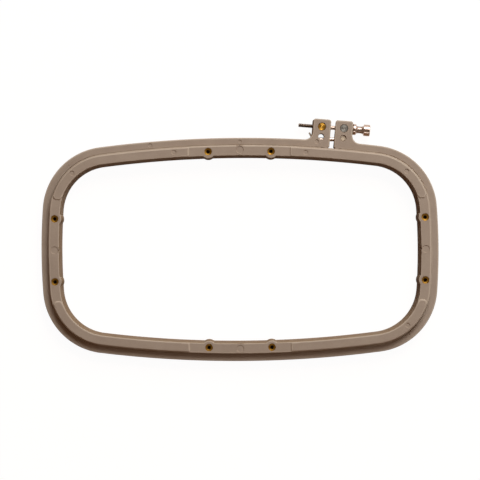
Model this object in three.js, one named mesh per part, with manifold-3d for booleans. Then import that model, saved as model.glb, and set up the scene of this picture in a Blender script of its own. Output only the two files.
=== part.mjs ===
// Machine embroidery hoop: a split outer ring drawn tight by a thumb screw, and an inner ring
// that presses the cloth into it and carries threaded inserts for the machine's arm brackets.
// Millimetres, +Z up. Both rings lie on the plane z = 0, and +Y is the side with the clamp.
import * as THREE from 'three';
import { mergeVertices } from 'three/addons/utils/BufferGeometryUtils.js';
import Module from 'manifold-3d';

const wasm = await Module();
wasm.setup();

const QUARTER_TURN = Math.PI / 2;
const HALF_TURN = Math.PI;
const FULL_TURN = 2 * Math.PI;

// Plan of the hoop, to the outer edge of the outer ring
const HOOP_LENGTH = 402.4;
const HOOP_WIDTH = 226.2;
const LONG_SIDE_RADIUS = 1134;
const SHORT_SIDE_RADIUS = 602;
const CORNER_RADIUS = 66;

// Gap left between pieces that touch
const CLEARANCE = 0.3;

// Outer ring
const OUTER_BAND = 7.1;
const OUTER_HEIGHT = 13;
const OUTER_EDGE = 0.9;

// Inner ring: its top carries the bracket flats, its inner wall steps in towards the foot
const INNER_HEIGHT = 20;
const INNER_TOP_WIDTH = 10.6;
const INNER_EDGE = 1.4;
const INNER_LIP = 0.5;
const FOOT_CHAMFER = 0.5;
const LEDGE_HEIGHTS = [13, 6.5];
const LEDGE_STEP = 0.5;
const WALL_DRAFT = 0.37;

// Raised pads over the corners, which leave a flat in the middle of each side
const BRACKET_FLAT_LENGTH = 101.6;
const PAD_RISE = 1.2;
const PAD_ROOT = 3;
const PAD_EDGE = 0.5;
const PAD_OUTER_MARGIN = 1.5;
const PAD_INNER_MARGIN = 0.9;
const PAD_SHORT_END_RADIUS = 3.4;
const PAD_LONG_END_RADIUS = 1.5;

// Vee notches that mark the middle of each side
const NOTCH_DEPTH = 0.9;
const NOTCH_HALF_WIDTH = 0.9;

// Threaded inserts, a pair on each side, each in a boss that swells the inner wall
const INSERT_SPACING = 63.5;
const INSERT_INSET = 14.25;
const INSERT_RADIUS = 3.75;
const INSERT_BORE_RADIUS = 1.7;
const INSERT_MOUTH_RADIUS = 2.7;
const INSERT_LENGTH = 9.5;
const INSERT_SINK = 0.2;
const BOSS_TOP_RADIUS = 6.8;
const BOSS_FOOT_RADIUS = 7.6;

// Clamp: the split and its two ears, in the clamp's own frame (u along the edge, v outwards)
const CLAMP_X = 93.7;
const SPLIT_GAP = 4.4;
const SPLIT_FLARE = 1.4;
const EAR_WIDTH = 18;
const EAR_REACH = 21.6;
const EAR_CORNER = 2.6;
const EAR_FILLET = 8;
const HARDWARE_HEIGHT = 6.5;
const BARREL_OFFSET = 13.9;
const BARREL_RADIUS = 3.97;
const BARREL_FLOOR = 1.4;
const DOWEL_CHAMFER = 0.4;
const EAR_HOLE_RADIUS = 3.15;
const EAR_HOLE_OFFSET = 3.95;

// Clamp screw and thumb knob, turned about the axis that crosses both barrels
const SCREW_RADIUS = 2;
const SCREW_OVERHANG = 14.7;
const SCREW_TIP_CHAMFER = 0.6;
const KNOB_LENGTH = 17.2;
const KNOB_FLANGE_RADIUS = 5.6;
const KNOB_FLANGE_LENGTH = 3.2;
const KNOB_WAIST_RADIUS = 3.45;
const KNOB_FLANGE_COVE = 2.7;
const KNOB_HEAD_COVE = 3.2;
const KNOB_HEAD_RADIUS = 5.9;
const KNOB_HEAD_LENGTH = 6.4;
const KNOB_EDGE = 0.7;
const KNOB_END_WALL = 4.5;

// Guide pin, fixed in the right ear and sliding in the left one, along the hoop's length
const PIN_RADIUS = 2;
const PIN_OFFSET = 2.05;
const PIN_REACH_RIGHT = 15.5;
const PIN_REACH_LEFT = 16.5;
const PIN_TIP_CHAMFER = 0.5;
const PLUG_RECESS = 0.9;

// Moulding nib on the left ear's fillet
const NIB_OFFSET = 3.8;
const NIB_LENGTH = 3.8;
const NIB_THICKNESS = 1.2;
const NIB_HEIGHT = 2.4;
const NIB_LEAN_DEGREES = 34;
const NIB_EDGE = 0.2;

// Facets along each kind of arc
const LONG_STEPS = 10;
const SHORT_STEPS = 4;
const CORNER_STEPS = 13;
const FILLET_STEPS = 5;
const ROUND_STEPS = 3;
const EDGE_STEPS = 2;
const BORE_SIDES = 20;
const KNOB_SIDES = 28;

const tan = new THREE.MeshStandardMaterial({ color: 0x998778, roughness: 0.5, metalness: 0 });
const paleTan = new THREE.MeshStandardMaterial({ color: 0xb8a690, roughness: 0.45, metalness: 0 });
const brass = new THREE.MeshStandardMaterial({ color: 0xb08a45, roughness: 0.3, metalness: 1 });
const steel = new THREE.MeshStandardMaterial({ color: 0x8f8a83, roughness: 0.35, metalness: 1 });
const nickel = new THREE.MeshStandardMaterial({ color: 0xd8c8b6, roughness: 0.15, metalness: 1 });

// Derived stations across the rings, as insets from the outer edge
const innerOutside = OUTER_BAND + CLEARANCE;
const innerTopEdge = innerOutside + INNER_TOP_WIDTH;
const wallStages = LEDGE_HEIGHTS.length + 1;
const innerFoot = innerTopEdge + wallStages * WALL_DRAFT + LEDGE_HEIGHTS.length * LEDGE_STEP;
const padTop = INNER_HEIGHT + PAD_RISE;

// The outline is eight tangent arcs, so a point on it, or on any line inset from it, is given by
// the direction of the outward normal there. The corner circle touches both side circles.
const longCentre = new THREE.Vector2(0, HOOP_WIDTH / 2 - LONG_SIDE_RADIUS);
const shortCentre = new THREE.Vector2(HOOP_LENGTH / 2 - SHORT_SIDE_RADIUS, 0);
const cornerCentre = circlesMeet(
  longCentre, LONG_SIDE_RADIUS - CORNER_RADIUS,
  shortCentre, SHORT_SIDE_RADIUS - CORNER_RADIUS,
);
const shortEnd = cornerCentre.clone().sub(shortCentre).angle();
const longStart = cornerCentre.clone().sub(longCentre).angle();

// The meeting point of two circles on the right of the line from the first centre to the second
function circlesMeet(a, radiusA, b, radiusB) {
  const line = b.clone().sub(a);
  const span = line.length();
  const along = (radiusA ** 2 - radiusB ** 2 + span ** 2) / (2 * span);
  const across = Math.sqrt(radiusA ** 2 - along ** 2);
  const unit = line.divideScalar(span);
  const side = new THREE.Vector2(unit.y, -unit.x);
  return a.clone().addScaledVector(unit, along).addScaledVector(side, across);
}

function arcAt(direction) {
  const quadrant = Math.atan2(Math.abs(Math.sin(direction)), Math.abs(Math.cos(direction)));
  if (quadrant < shortEnd) return { centre: shortCentre, radius: SHORT_SIDE_RADIUS };
  if (quadrant > longStart) return { centre: longCentre, radius: LONG_SIDE_RADIUS };
  return { centre: cornerCentre, radius: CORNER_RADIUS };
}

function hoopPoint(direction, inset) {
  const { centre, radius } = arcAt(direction);
  const sideX = Math.sign(Math.cos(direction));
  const sideY = Math.sign(Math.sin(direction));
  return new THREE.Vector2(
    sideX * centre.x + (radius - inset) * Math.cos(direction),
    sideY * centre.y + (radius - inset) * Math.sin(direction),
  );
}

// Directions of the facets' corners once round the hoop, arc by arc
const loopDirections = [];
const arcSpans = [
  [-shortEnd, shortEnd, SHORT_STEPS],
  [shortEnd, longStart, CORNER_STEPS],
  [longStart, HALF_TURN - longStart, LONG_STEPS],
  [HALF_TURN - longStart, HALF_TURN - shortEnd, CORNER_STEPS],
  [HALF_TURN - shortEnd, HALF_TURN + shortEnd, SHORT_STEPS],
  [HALF_TURN + shortEnd, HALF_TURN + longStart, CORNER_STEPS],
  [HALF_TURN + longStart, FULL_TURN - longStart, LONG_STEPS],
  [FULL_TURN - longStart, FULL_TURN - shortEnd, CORNER_STEPS],
];
for (const [start, end, steps] of arcSpans) {
  for (let i = 0; i < steps; i += 1) loopDirections.push(start + ((end - start) * i) / steps);
}

// The same corners between two directions, with both ends, counterclockwise
function directionsBetween(from, to) {
  const twice = [...loopDirections, ...loopDirections.map((direction) => direction + FULL_TURN)];
  const leeway = 1e-3;
  const inside = twice.filter((direction) => direction > from + leeway && direction < to - leeway);
  return [from, ...inside, to];
}

function arcPoints(x, y, radius, from, to, steps) {
  const points = [];
  for (let i = 0; i <= steps; i += 1) {
    const angle = from + ((to - from) * i) / steps;
    points.push(new THREE.Vector2(x + radius * Math.cos(angle), y + radius * Math.sin(angle)));
  }
  return points;
}

// A closed geometry as a solid that can be joined and cut
function solid(geometry) {
  const bare = geometry.clone();
  bare.deleteAttribute('normal');
  bare.deleteAttribute('uv');
  const merged = mergeVertices(bare);
  const corners = [];
  const index = merged.index.array;
  for (let i = 0; i < index.length; i += 3) {
    const [a, b, c] = [index[i], index[i + 1], index[i + 2]];
    if (a !== b && b !== c && c !== a) corners.push(a, b, c);
  }
  return new wasm.Manifold(new wasm.Mesh({
    numProp: 3,
    vertProperties: new Float32Array(merged.attributes.position.array),
    triVerts: new Uint32Array(corners),
  }));
}

function geometryOf(body) {
  const { vertProperties, triVerts } = body.getMesh();
  const geometry = new THREE.BufferGeometry();
  geometry.setAttribute('position', new THREE.BufferAttribute(vertProperties, 3));
  geometry.setIndex(new THREE.BufferAttribute(triVerts, 1));
  geometry.computeVertexNormals();
  return geometry;
}

// A plan shape raised to a plate between two heights, with its edges rounded by the given amount
function plate(points, bottom, top, edge) {
  const geometry = new THREE.ExtrudeGeometry(new THREE.Shape(points), {
    depth: top - bottom - 2 * edge,
    bevelEnabled: edge > 0,
    bevelThickness: edge,
    bevelSize: edge,
    bevelOffset: -edge,
    bevelSegments: EDGE_STEPS,
    curveSegments: 1,
  });
  return geometry.translate(0, 0, bottom + edge);
}

// A cross-section of (inset, height) points carried round the hoop into a closed ring
function sweptRing(section) {
  const positions = [];
  for (const direction of loopDirections) {
    for (const [inset, height] of section) {
      const point = hoopPoint(direction, inset);
      positions.push(point.x, point.y, height);
    }
  }
  const index = [];
  const stations = loopDirections.length;
  const count = section.length;
  for (let s = 0; s < stations; s += 1) {
    const next = (s + 1) % stations;
    for (let k = 0; k < count; k += 1) {
      const beside = (k + 1) % count;
      index.push(s * count + k, next * count + k, next * count + beside);
      index.push(s * count + k, next * count + beside, s * count + beside);
    }
  }
  const geometry = new THREE.BufferGeometry();
  geometry.setAttribute('position', new THREE.Float32BufferAttribute(positions, 3));
  geometry.setIndex(index);
  return geometry;
}

// An upright cylinder between two heights
function upright(x, y, bottom, top, radius) {
  const geometry = new THREE.CylinderGeometry(radius, radius, top - bottom, BORE_SIDES);
  return geometry.rotateX(QUARTER_TURN).translate(x, y, (bottom + top) / 2);
}

// A round bar along u in the clamp's frame
function barAlong(from, to, radius) {
  const geometry = new THREE.CylinderGeometry(radius, radius, to - from, BORE_SIDES);
  return geometry.rotateZ(-QUARTER_TURN).translate((from + to) / 2, 0, 0);
}

// A turned piece: pairs of (distance along the axis, radius), laid along u
function turnedAlong(profile, sides) {
  const points = profile.map(([along, radius]) => new THREE.Vector2(radius, along));
  return new THREE.LatheGeometry(points, sides).rotateZ(-QUARTER_TURN);
}

// A turned piece standing upright
function turnedUpright(profile, sides) {
  const points = profile.map(([height, radius]) => new THREE.Vector2(radius, height));
  return new THREE.LatheGeometry(points, sides).rotateX(QUARTER_TURN);
}

function piece(name, geometry, material) {
  const mesh = new THREE.Mesh(geometry, material);
  mesh.name = name;
  return mesh;
}

// The clamp's frame stands on the outer edge in the middle of the split
const clampDirection = Math.acos(CLAMP_X / LONG_SIDE_RADIUS);
const clampTilt = clampDirection - QUARTER_TURN;
const clampOrigin = hoopPoint(clampDirection, 0);
const clampFrame = new THREE.Matrix4()
  .makeRotationZ(clampTilt)
  .setPosition(clampOrigin.x, clampOrigin.y, 0);
const halfGap = SPLIT_GAP / 2;
const earOutside = halfGap + EAR_WIDTH;
const earMiddle = halfGap + EAR_WIDTH / 2;
const pinTilt = -clampTilt;

function fromClamp({ x, y }) {
  return new THREE.Vector2(x, y).rotateAround(new THREE.Vector2(), clampTilt).add(clampOrigin);
}

// The fillet's circle touches the ear's outer wall and the ring's outer edge
const filletU = earOutside + EAR_FILLET;
const filletReach = Math.sqrt((LONG_SIDE_RADIUS + EAR_FILLET) ** 2 - filletU ** 2);
const filletV = filletReach - LONG_SIDE_RADIUS;
const footAngle = Math.atan2(filletU, filletReach);

// Plan of the right ear, from the split's inner end up and over to the foot of its fillet
function earPlan() {
  const insideEdge = -OUTER_BAND;
  const cornerV = EAR_REACH - EAR_CORNER;
  return [
    new THREE.Vector2(halfGap + SPLIT_FLARE, insideEdge),
    new THREE.Vector2(halfGap, insideEdge + SPLIT_FLARE),
    ...arcPoints(halfGap + EAR_CORNER, cornerV, EAR_CORNER, HALF_TURN, QUARTER_TURN, ROUND_STEPS),
    ...arcPoints(earOutside - EAR_CORNER, cornerV, EAR_CORNER, QUARTER_TURN, 0, ROUND_STEPS),
    ...arcPoints(filletU, filletV, EAR_FILLET, HALF_TURN, 3 * QUARTER_TURN - footAngle, FILLET_STEPS),
  ];
}

// The outer ring's plan is one line: up the left ear from the split, round the outside,
// over the right ear and back along the inner edge.
function outerRingPlan() {
  const rightEar = earPlan();
  const leftEar = rightEar.map(({ x, y }) => new THREE.Vector2(-x, y));
  const flareAngle = (halfGap + SPLIT_FLARE) / (LONG_SIDE_RADIUS - OUTER_BAND);
  const outside = directionsBetween(clampDirection + footAngle, clampDirection + FULL_TURN - footAngle);
  const inside = directionsBetween(clampDirection + flareAngle, clampDirection + FULL_TURN - flareAngle);
  const outsideLine = outside.slice(1, -1).map((direction) => hoopPoint(direction, 0));
  const insideLine = inside.slice(1, -1).map((direction) => hoopPoint(direction, OUTER_BAND));
  return [
    ...leftEar.map(fromClamp),
    ...outsideLine,
    ...rightEar.map(fromClamp).reverse(),
    ...insideLine.reverse(),
  ];
}

function guidePinFrame() {
  return new THREE.Matrix4()
    .makeRotationZ(pinTilt)
    .setPosition(0, PIN_OFFSET, HARDWARE_HEIGHT);
}

function buildOuterRing() {
  const bored = OUTER_HEIGHT + CLEARANCE;
  const barrelHole = BARREL_RADIUS + CLEARANCE;
  const plugFloor = HARDWARE_HEIGHT;
  const earCuts = [
    upright(-earMiddle, BARREL_OFFSET, BARREL_FLOOR, bored, barrelHole),
    upright(earMiddle, BARREL_OFFSET, BARREL_FLOOR, bored, barrelHole),
    upright(-earMiddle, EAR_HOLE_OFFSET, -CLEARANCE, bored, EAR_HOLE_RADIUS),
    upright(earMiddle, EAR_HOLE_OFFSET, plugFloor, bored, EAR_HOLE_RADIUS),
    barAlong(-earOutside - EAR_FILLET, earOutside + EAR_FILLET, SCREW_RADIUS + CLEARANCE)
      .translate(0, BARREL_OFFSET, HARDWARE_HEIGHT),
    barAlong(-PIN_REACH_LEFT - CLEARANCE, PIN_REACH_RIGHT + CLEARANCE, PIN_RADIUS + CLEARANCE)
      .applyMatrix4(guidePinFrame()),
  ];
  let ring = solid(plate(outerRingPlan(), 0, OUTER_HEIGHT, OUTER_EDGE));
  ring = ring.add(solid(buildNib().applyMatrix4(clampFrame)));
  for (const cut of earCuts) ring = ring.subtract(solid(cut.applyMatrix4(clampFrame)));
  return geometryOf(ring);
}

// A small tongue that stands out of the left ear's fillet and leans away from the ear
function buildNib() {
  const rise = filletV - NIB_OFFSET;
  const root = new THREE.Vector2(Math.sqrt(EAR_FILLET ** 2 - rise ** 2) - filletU, NIB_OFFSET);
  const lean = THREE.MathUtils.degToRad(NIB_LEAN_DEGREES);
  const side = NIB_THICKNESS / 2;
  const corners = [
    [-side, -NIB_THICKNESS],
    [side, -NIB_THICKNESS],
    [side, NIB_LENGTH],
    [-side, NIB_LENGTH],
  ];
  const tongue = corners.map(([across, along]) => new THREE.Vector2(across, along)
    .rotateAround(new THREE.Vector2(), lean)
    .add(root));
  const bottom = HARDWARE_HEIGHT - NIB_HEIGHT / 2;
  return plate(tongue, bottom, bottom + NIB_HEIGHT, NIB_EDGE);
}

// Section of the inner ring: rounded top edges, a plain outer wall and a stepped inner wall
function innerSection() {
  const shoulder = INNER_HEIGHT - INNER_EDGE;
  const lip = INNER_HEIGHT - INNER_LIP;
  const section = [
    [innerOutside + FOOT_CHAMFER, 0],
    [innerOutside, FOOT_CHAMFER],
  ];
  const rounds = [
    ...arcPoints(innerOutside + INNER_EDGE, shoulder, INNER_EDGE, HALF_TURN, QUARTER_TURN, EDGE_STEPS),
    ...arcPoints(innerTopEdge - INNER_LIP, lip, INNER_LIP, QUARTER_TURN, 0, EDGE_STEPS),
  ];
  for (const { x, y } of rounds) section.push([x, y]);
  let inset = innerTopEdge;
  for (const height of LEDGE_HEIGHTS) {
    section.push([inset + WALL_DRAFT, height]);
    inset += WALL_DRAFT + LEDGE_STEP;
    section.push([inset, height]);
  }
  section.push([innerFoot, FOOT_CHAMFER]);
  section.push([innerFoot - FOOT_CHAMFER, 0]);
  return section;
}

// Directions at which a line inset from the outline reaches a given x or y in the first quarter
function directionAtX(x, inset) {
  const longReach = (LONG_SIDE_RADIUS - inset) * Math.cos(longStart);
  if (x < longReach) return Math.acos(x / (LONG_SIDE_RADIUS - inset));
  return Math.acos((x - cornerCentre.x) / (CORNER_RADIUS - inset));
}

function directionAtY(y, inset) {
  const shortReach = (SHORT_SIDE_RADIUS - inset) * Math.sin(shortEnd);
  if (y < shortReach) return Math.asin(y / (SHORT_SIDE_RADIUS - inset));
  return Math.asin((y - cornerCentre.y) / (CORNER_RADIUS - inset));
}

// Plan of one corner pad, with round ends on the short side and nearly square ones on the long side
function padPlan() {
  const outer = innerOutside + PAD_OUTER_MARGIN;
  const inner = innerTopEdge - PAD_INNER_MARGIN;
  const flatEnd = BRACKET_FLAT_LENGTH / 2;
  const startRadius = PAD_SHORT_END_RADIUS;
  const endRadius = PAD_LONG_END_RADIUS;
  const endCorner = (inset, radius, end) => {
    const direction = end === 'short'
      ? directionAtY(flatEnd + radius, inset)
      : directionAtX(flatEnd + radius, inset);
    return { direction, centre: hoopPoint(direction, inset), radius };
  };
  const round = ({ direction, centre, radius }, from) => arcPoints(
    centre.x, centre.y, radius,
    direction + from, direction + from + QUARTER_TURN, ROUND_STEPS,
  );
  const startOuter = endCorner(outer + startRadius, startRadius, 'short');
  const startInner = endCorner(inner - startRadius, startRadius, 'short');
  const endOuter = endCorner(outer + endRadius, endRadius, 'long');
  const endInner = endCorner(inner - endRadius, endRadius, 'long');
  const outerLine = directionsBetween(startOuter.direction, endOuter.direction).slice(1, -1);
  const innerLine = directionsBetween(startInner.direction, endInner.direction).slice(1, -1);
  return [
    ...round(startOuter, -QUARTER_TURN),
    ...outerLine.map((direction) => hoopPoint(direction, outer)),
    ...round(endOuter, 0),
    ...round(endInner, QUARTER_TURN),
    ...innerLine.reverse().map((direction) => hoopPoint(direction, inner)),
    ...round(startInner, HALF_TURN),
  ];
}

// Centres of the inserts, with the names of their places
const insertX = HOOP_LENGTH / 2 - INSERT_INSET;
const insertY = HOOP_WIDTH / 2 - INSERT_INSET;
const insertAside = INSERT_SPACING / 2;
const insertPlaces = [
  ['insert_back_left', -insertAside, insertY],
  ['insert_back_right', insertAside, insertY],
  ['insert_front_left', -insertAside, -insertY],
  ['insert_front_right', insertAside, -insertY],
  ['insert_left_back', -insertX, insertAside],
  ['insert_left_front', -insertX, -insertAside],
  ['insert_right_back', insertX, insertAside],
  ['insert_right_front', insertX, -insertAside],
];
const insertTop = INNER_HEIGHT - INSERT_SINK;
const insertFoot = insertTop - INSERT_LENGTH;

// An upright vee: its point lies at one inset, and it opens towards another
function vee(direction, point, mouth, bottom) {
  const apex = hoopPoint(direction, point);
  const open = hoopPoint(direction, mouth);
  const spread = (NOTCH_HALF_WIDTH / NOTCH_DEPTH) * Math.abs(mouth - point);
  const across = new THREE.Vector2(-Math.sin(direction), Math.cos(direction));
  const left = open.clone().addScaledVector(across, spread);
  const right = open.clone().addScaledVector(across, -spread);
  return plate([apex, left, right], bottom, INNER_HEIGHT + CLEARANCE, 0);
}

// A vee groove from the top to the foot of the inner wall, leaning with the wall
function wallNotch(direction) {
  const cut = vee(direction, innerTopEdge - NOTCH_DEPTH, innerFoot, -CLEARANCE);
  const drop = innerFoot - innerTopEdge;
  const leanX = (drop / INNER_HEIGHT) * Math.cos(direction);
  const leanY = (drop / INNER_HEIGHT) * Math.sin(direction);
  const lean = new THREE.Matrix4().set(
    1, 0, leanX, -leanX * INNER_HEIGHT,
    0, 1, leanY, -leanY * INNER_HEIGHT,
    0, 0, 1, 0,
    0, 0, 0, 1,
  );
  return cut.applyMatrix4(lean);
}

// The boss round an insert: a drafted post with its top edge rounded like the ring's lip
function buildBoss() {
  const lip = INNER_HEIGHT - INNER_LIP;
  const roundX = BOSS_TOP_RADIUS - INNER_LIP;
  const round = arcPoints(roundX, lip, INNER_LIP, 0, QUARTER_TURN, EDGE_STEPS);
  return turnedUpright([
    [0, 0],
    [0, BOSS_FOOT_RADIUS],
    ...round.map(({ x, y }) => [y, x]),
    [INNER_HEIGHT, 0],
  ], BORE_SIDES);
}

function buildInnerRing() {
  let ring = solid(sweptRing(innerSection()));
  const trim = solid(plate(
    loopDirections.map((direction) => hoopPoint(direction, innerOutside + INNER_EDGE)),
    0, INNER_HEIGHT, 0,
  ));
  for (const [, x, y] of insertPlaces) {
    ring = ring.add(solid(buildBoss().translate(x, y, 0)).intersect(trim));
  }
  for (const [sideX, sideY] of [[1, 1], [-1, 1], [-1, -1], [1, -1]]) {
    const plan = padPlan().map(({ x, y }) => new THREE.Vector2(sideX * x, sideY * y));
    ring = ring.add(solid(plate(plan, INNER_HEIGHT - PAD_ROOT, padTop, PAD_EDGE)));
  }
  for (const [, x, y] of insertPlaces) {
    const hole = upright(
      x, y, insertFoot - CLEARANCE, INNER_HEIGHT + CLEARANCE, INSERT_RADIUS + CLEARANCE,
    );
    ring = ring.subtract(solid(hole));
  }
  for (const direction of [0, QUARTER_TURN, HALF_TURN, 3 * QUARTER_TURN]) {
    ring = ring.subtract(solid(wallNotch(direction)));
  }
  const backNotch = vee(QUARTER_TURN, innerOutside + NOTCH_DEPTH, 0, OUTER_HEIGHT);
  return geometryOf(ring.subtract(solid(backNotch)));
}

// One insert: a turned bush with a bore and a chamfered mouth
function buildInsert() {
  const mouthDepth = INSERT_MOUTH_RADIUS - INSERT_BORE_RADIUS;
  return turnedUpright([
    [0, INSERT_BORE_RADIUS],
    [0, INSERT_RADIUS],
    [INSERT_LENGTH, INSERT_RADIUS],
    [INSERT_LENGTH, INSERT_MOUTH_RADIUS],
    [INSERT_LENGTH - mouthDepth, INSERT_BORE_RADIUS],
    [0, INSERT_BORE_RADIUS],
  ], BORE_SIDES);
}

// A cross barrel: an upright dowel with a hole through it for the screw
function buildBarrel() {
  const foot = BARREL_FLOOR + CLEARANCE;
  const blank = turnedUpright([
    [foot, 0],
    [foot, BARREL_RADIUS - DOWEL_CHAMFER],
    [foot + DOWEL_CHAMFER, BARREL_RADIUS],
    [OUTER_HEIGHT - DOWEL_CHAMFER, BARREL_RADIUS],
    [OUTER_HEIGHT, BARREL_RADIUS - DOWEL_CHAMFER],
    [OUTER_HEIGHT, 0],
  ], BORE_SIDES);
  const cross = barAlong(-EAR_WIDTH / 2, EAR_WIDTH / 2, SCREW_RADIUS + CLEARANCE);
  return geometryOf(solid(blank).subtract(solid(cross.translate(0, 0, HARDWARE_HEIGHT))));
}

const knobStart = earOutside + CLEARANCE;
const knobBore = knobStart + KNOB_LENGTH - KNOB_END_WALL;

function buildScrew() {
  const tip = -earOutside - SCREW_OVERHANG;
  const end = knobBore - CLEARANCE;
  return turnedAlong([
    [tip, 0],
    [tip, SCREW_RADIUS - SCREW_TIP_CHAMFER],
    [tip + SCREW_TIP_CHAMFER, SCREW_RADIUS],
    [end, SCREW_RADIUS],
    [end, 0],
  ], BORE_SIDES);
}

// A quarter hollow between a shoulder, which it leaves square, and the waist, which it joins smoothly
function cove(shoulder, shoulderRadius, waist) {
  const quarter = arcPoints(0, 0, 1, 0, QUARTER_TURN, ROUND_STEPS);
  return quarter.map(({ x, y }) => [
    waist + (shoulder - waist) * x,
    shoulderRadius + (KNOB_WAIST_RADIUS - shoulderRadius) * y,
  ]);
}

// A spool: a shoulder flange, a hollowed waist and a broad head, bored for the screw
function buildKnob() {
  const flangeEnd = knobStart + KNOB_FLANGE_LENGTH;
  const headStart = knobStart + KNOB_LENGTH - KNOB_HEAD_LENGTH;
  const end = knobStart + KNOB_LENGTH;
  const bore = SCREW_RADIUS + CLEARANCE;
  return turnedAlong([
    [knobStart, bore],
    [knobStart, KNOB_FLANGE_RADIUS - KNOB_EDGE],
    [knobStart + KNOB_EDGE, KNOB_FLANGE_RADIUS],
    [flangeEnd - KNOB_EDGE, KNOB_FLANGE_RADIUS],
    ...cove(flangeEnd, KNOB_FLANGE_RADIUS - KNOB_EDGE, flangeEnd + KNOB_FLANGE_COVE),
    ...cove(headStart, KNOB_HEAD_RADIUS - KNOB_EDGE, headStart - KNOB_HEAD_COVE).reverse(),
    [headStart + KNOB_EDGE, KNOB_HEAD_RADIUS],
    [end - KNOB_EDGE, KNOB_HEAD_RADIUS],
    [end, KNOB_HEAD_RADIUS - KNOB_EDGE],
    [end, 0],
    [knobBore, 0],
    [knobBore, bore],
    [knobStart, bore],
  ], KNOB_SIDES);
}

function buildGuidePin() {
  return turnedAlong([
    [-PIN_REACH_LEFT, 0],
    [-PIN_REACH_LEFT, PIN_RADIUS - PIN_TIP_CHAMFER],
    [-PIN_REACH_LEFT + PIN_TIP_CHAMFER, PIN_RADIUS],
    [PIN_REACH_RIGHT, PIN_RADIUS],
    [PIN_REACH_RIGHT, 0],
  ], BORE_SIDES);
}

// The plug stands on the guide pin and ends a little below the ear's face
function buildPlug() {
  const radius = EAR_HOLE_RADIUS - CLEARANCE;
  const foot = HARDWARE_HEIGHT + PIN_RADIUS + CLEARANCE;
  const top = OUTER_HEIGHT - PLUG_RECESS;
  return turnedUpright([
    [foot, 0],
    [foot, radius],
    [top - DOWEL_CHAMFER, radius],
    [top, radius - DOWEL_CHAMFER],
    [top, 0],
  ], BORE_SIDES);
}

const hoop = new THREE.Group();
hoop.add(piece('outer_ring', buildOuterRing(), tan));
hoop.add(piece('inner_ring', buildInnerRing(), tan));

for (const [name, x, y] of insertPlaces) {
  const insert = piece(name, buildInsert(), brass);
  insert.position.set(x, y, insertFoot);
  hoop.add(insert);
}

const clamp = new THREE.Group();
clamp.position.set(clampOrigin.x, clampOrigin.y, 0);
clamp.rotation.z = clampTilt;
hoop.add(clamp);

const barrelNut = piece('barrel_nut', buildBarrel(), brass);
barrelNut.position.set(-earMiddle, BARREL_OFFSET, 0);
const barrelSwivel = piece('barrel_swivel', buildBarrel(), steel);
barrelSwivel.position.set(earMiddle, BARREL_OFFSET, 0);
clamp.add(barrelNut, barrelSwivel);

const screwLine = new THREE.Group();
screwLine.position.set(0, BARREL_OFFSET, HARDWARE_HEIGHT);
screwLine.add(piece('clamp_screw', buildScrew(), nickel));
screwLine.add(piece('thumb_knob', buildKnob(), nickel));
clamp.add(screwLine);

const guidePin = piece('guide_pin', buildGuidePin(), nickel);
guidePin.position.set(0, PIN_OFFSET, HARDWARE_HEIGHT);
guidePin.rotation.z = pinTilt;
const plug = piece('guide_pin_plug', buildPlug(), paleTan);
plug.position.set(earMiddle, EAR_HOLE_OFFSET, 0);
clamp.add(guidePin, plug);

// The origin is the middle of the whole part's box, on the plane it rests on
const box = new THREE.Box3().setFromObject(hoop, true);
const middle = box.getCenter(new THREE.Vector3());
hoop.position.set(-middle.x, -middle.y, -box.min.z);

export default hoop;
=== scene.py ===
"""Looks of a machine embroidery hoop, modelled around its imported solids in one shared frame."""

import math

import bmesh
import bpy
from bpy.props import FloatProperty, FloatVectorProperty, PointerProperty
from bpy.types import Operator, Panel, PropertyGroup
from mathutils import Matrix, Vector, geometry


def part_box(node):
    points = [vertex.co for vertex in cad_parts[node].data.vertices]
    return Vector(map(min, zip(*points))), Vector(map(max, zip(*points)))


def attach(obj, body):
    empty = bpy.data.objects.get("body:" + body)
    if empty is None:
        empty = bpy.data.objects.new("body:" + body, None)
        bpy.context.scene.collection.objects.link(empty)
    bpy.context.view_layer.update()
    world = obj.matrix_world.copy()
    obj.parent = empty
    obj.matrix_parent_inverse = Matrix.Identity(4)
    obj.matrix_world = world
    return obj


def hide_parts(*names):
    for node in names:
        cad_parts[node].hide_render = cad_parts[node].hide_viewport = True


bl_info = {
    "name": "Embroidery Hoop",
    "version": (1, 0, 0),
    "blender": (4, 5, 0),
    "location": "View3D > Sidebar > Hoop",
    "description": "Builds a machine embroidery hoop and its clamp around the packed solids",
    "category": "Object",
}

# The frame, which is loaded first so that sizes can come from it
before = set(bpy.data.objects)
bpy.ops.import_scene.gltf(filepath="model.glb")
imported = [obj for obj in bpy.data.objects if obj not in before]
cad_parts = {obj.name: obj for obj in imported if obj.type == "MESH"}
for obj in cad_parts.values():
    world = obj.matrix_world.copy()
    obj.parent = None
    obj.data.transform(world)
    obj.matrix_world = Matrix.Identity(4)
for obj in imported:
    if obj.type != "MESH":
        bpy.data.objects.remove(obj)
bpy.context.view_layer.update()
outer_low, outer_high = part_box("outer_ring")
inner_low, inner_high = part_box("inner_ring")

MM = 0.001
UP = Vector((0, 0, 1))
FULL_TURN = 2 * math.pi
QUARTER_TURN = math.pi / 2
HOOP_PLACE = Matrix.Translation((0, (inner_low.y + inner_high.y) / 2, 0))
ALONG_X = Matrix.Rotation(QUARTER_TURN, 4, "Y")

# Smoothness of the meshes
FACET_LENGTH = 7 * MM
FACET_ANGLE = math.radians(2.5)
ROUND_DEGREES = 15
EDGE_SEGMENTS = 4
MOULDED_SHARP = math.radians(12)
TURNED_SHARP = math.radians(32)
ROUNDING_WIDTH = 0.75 * MM
FACET_BEND = (math.radians(5), math.radians(34))
TURNED_SIDES = 64
THREAD_STEPS = 20
CROWN_STEPS = 6
COVE_STEPS = 8
MERGE_DISTANCE = 1.5e-5
OVERCUT = 1 * MM

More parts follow.
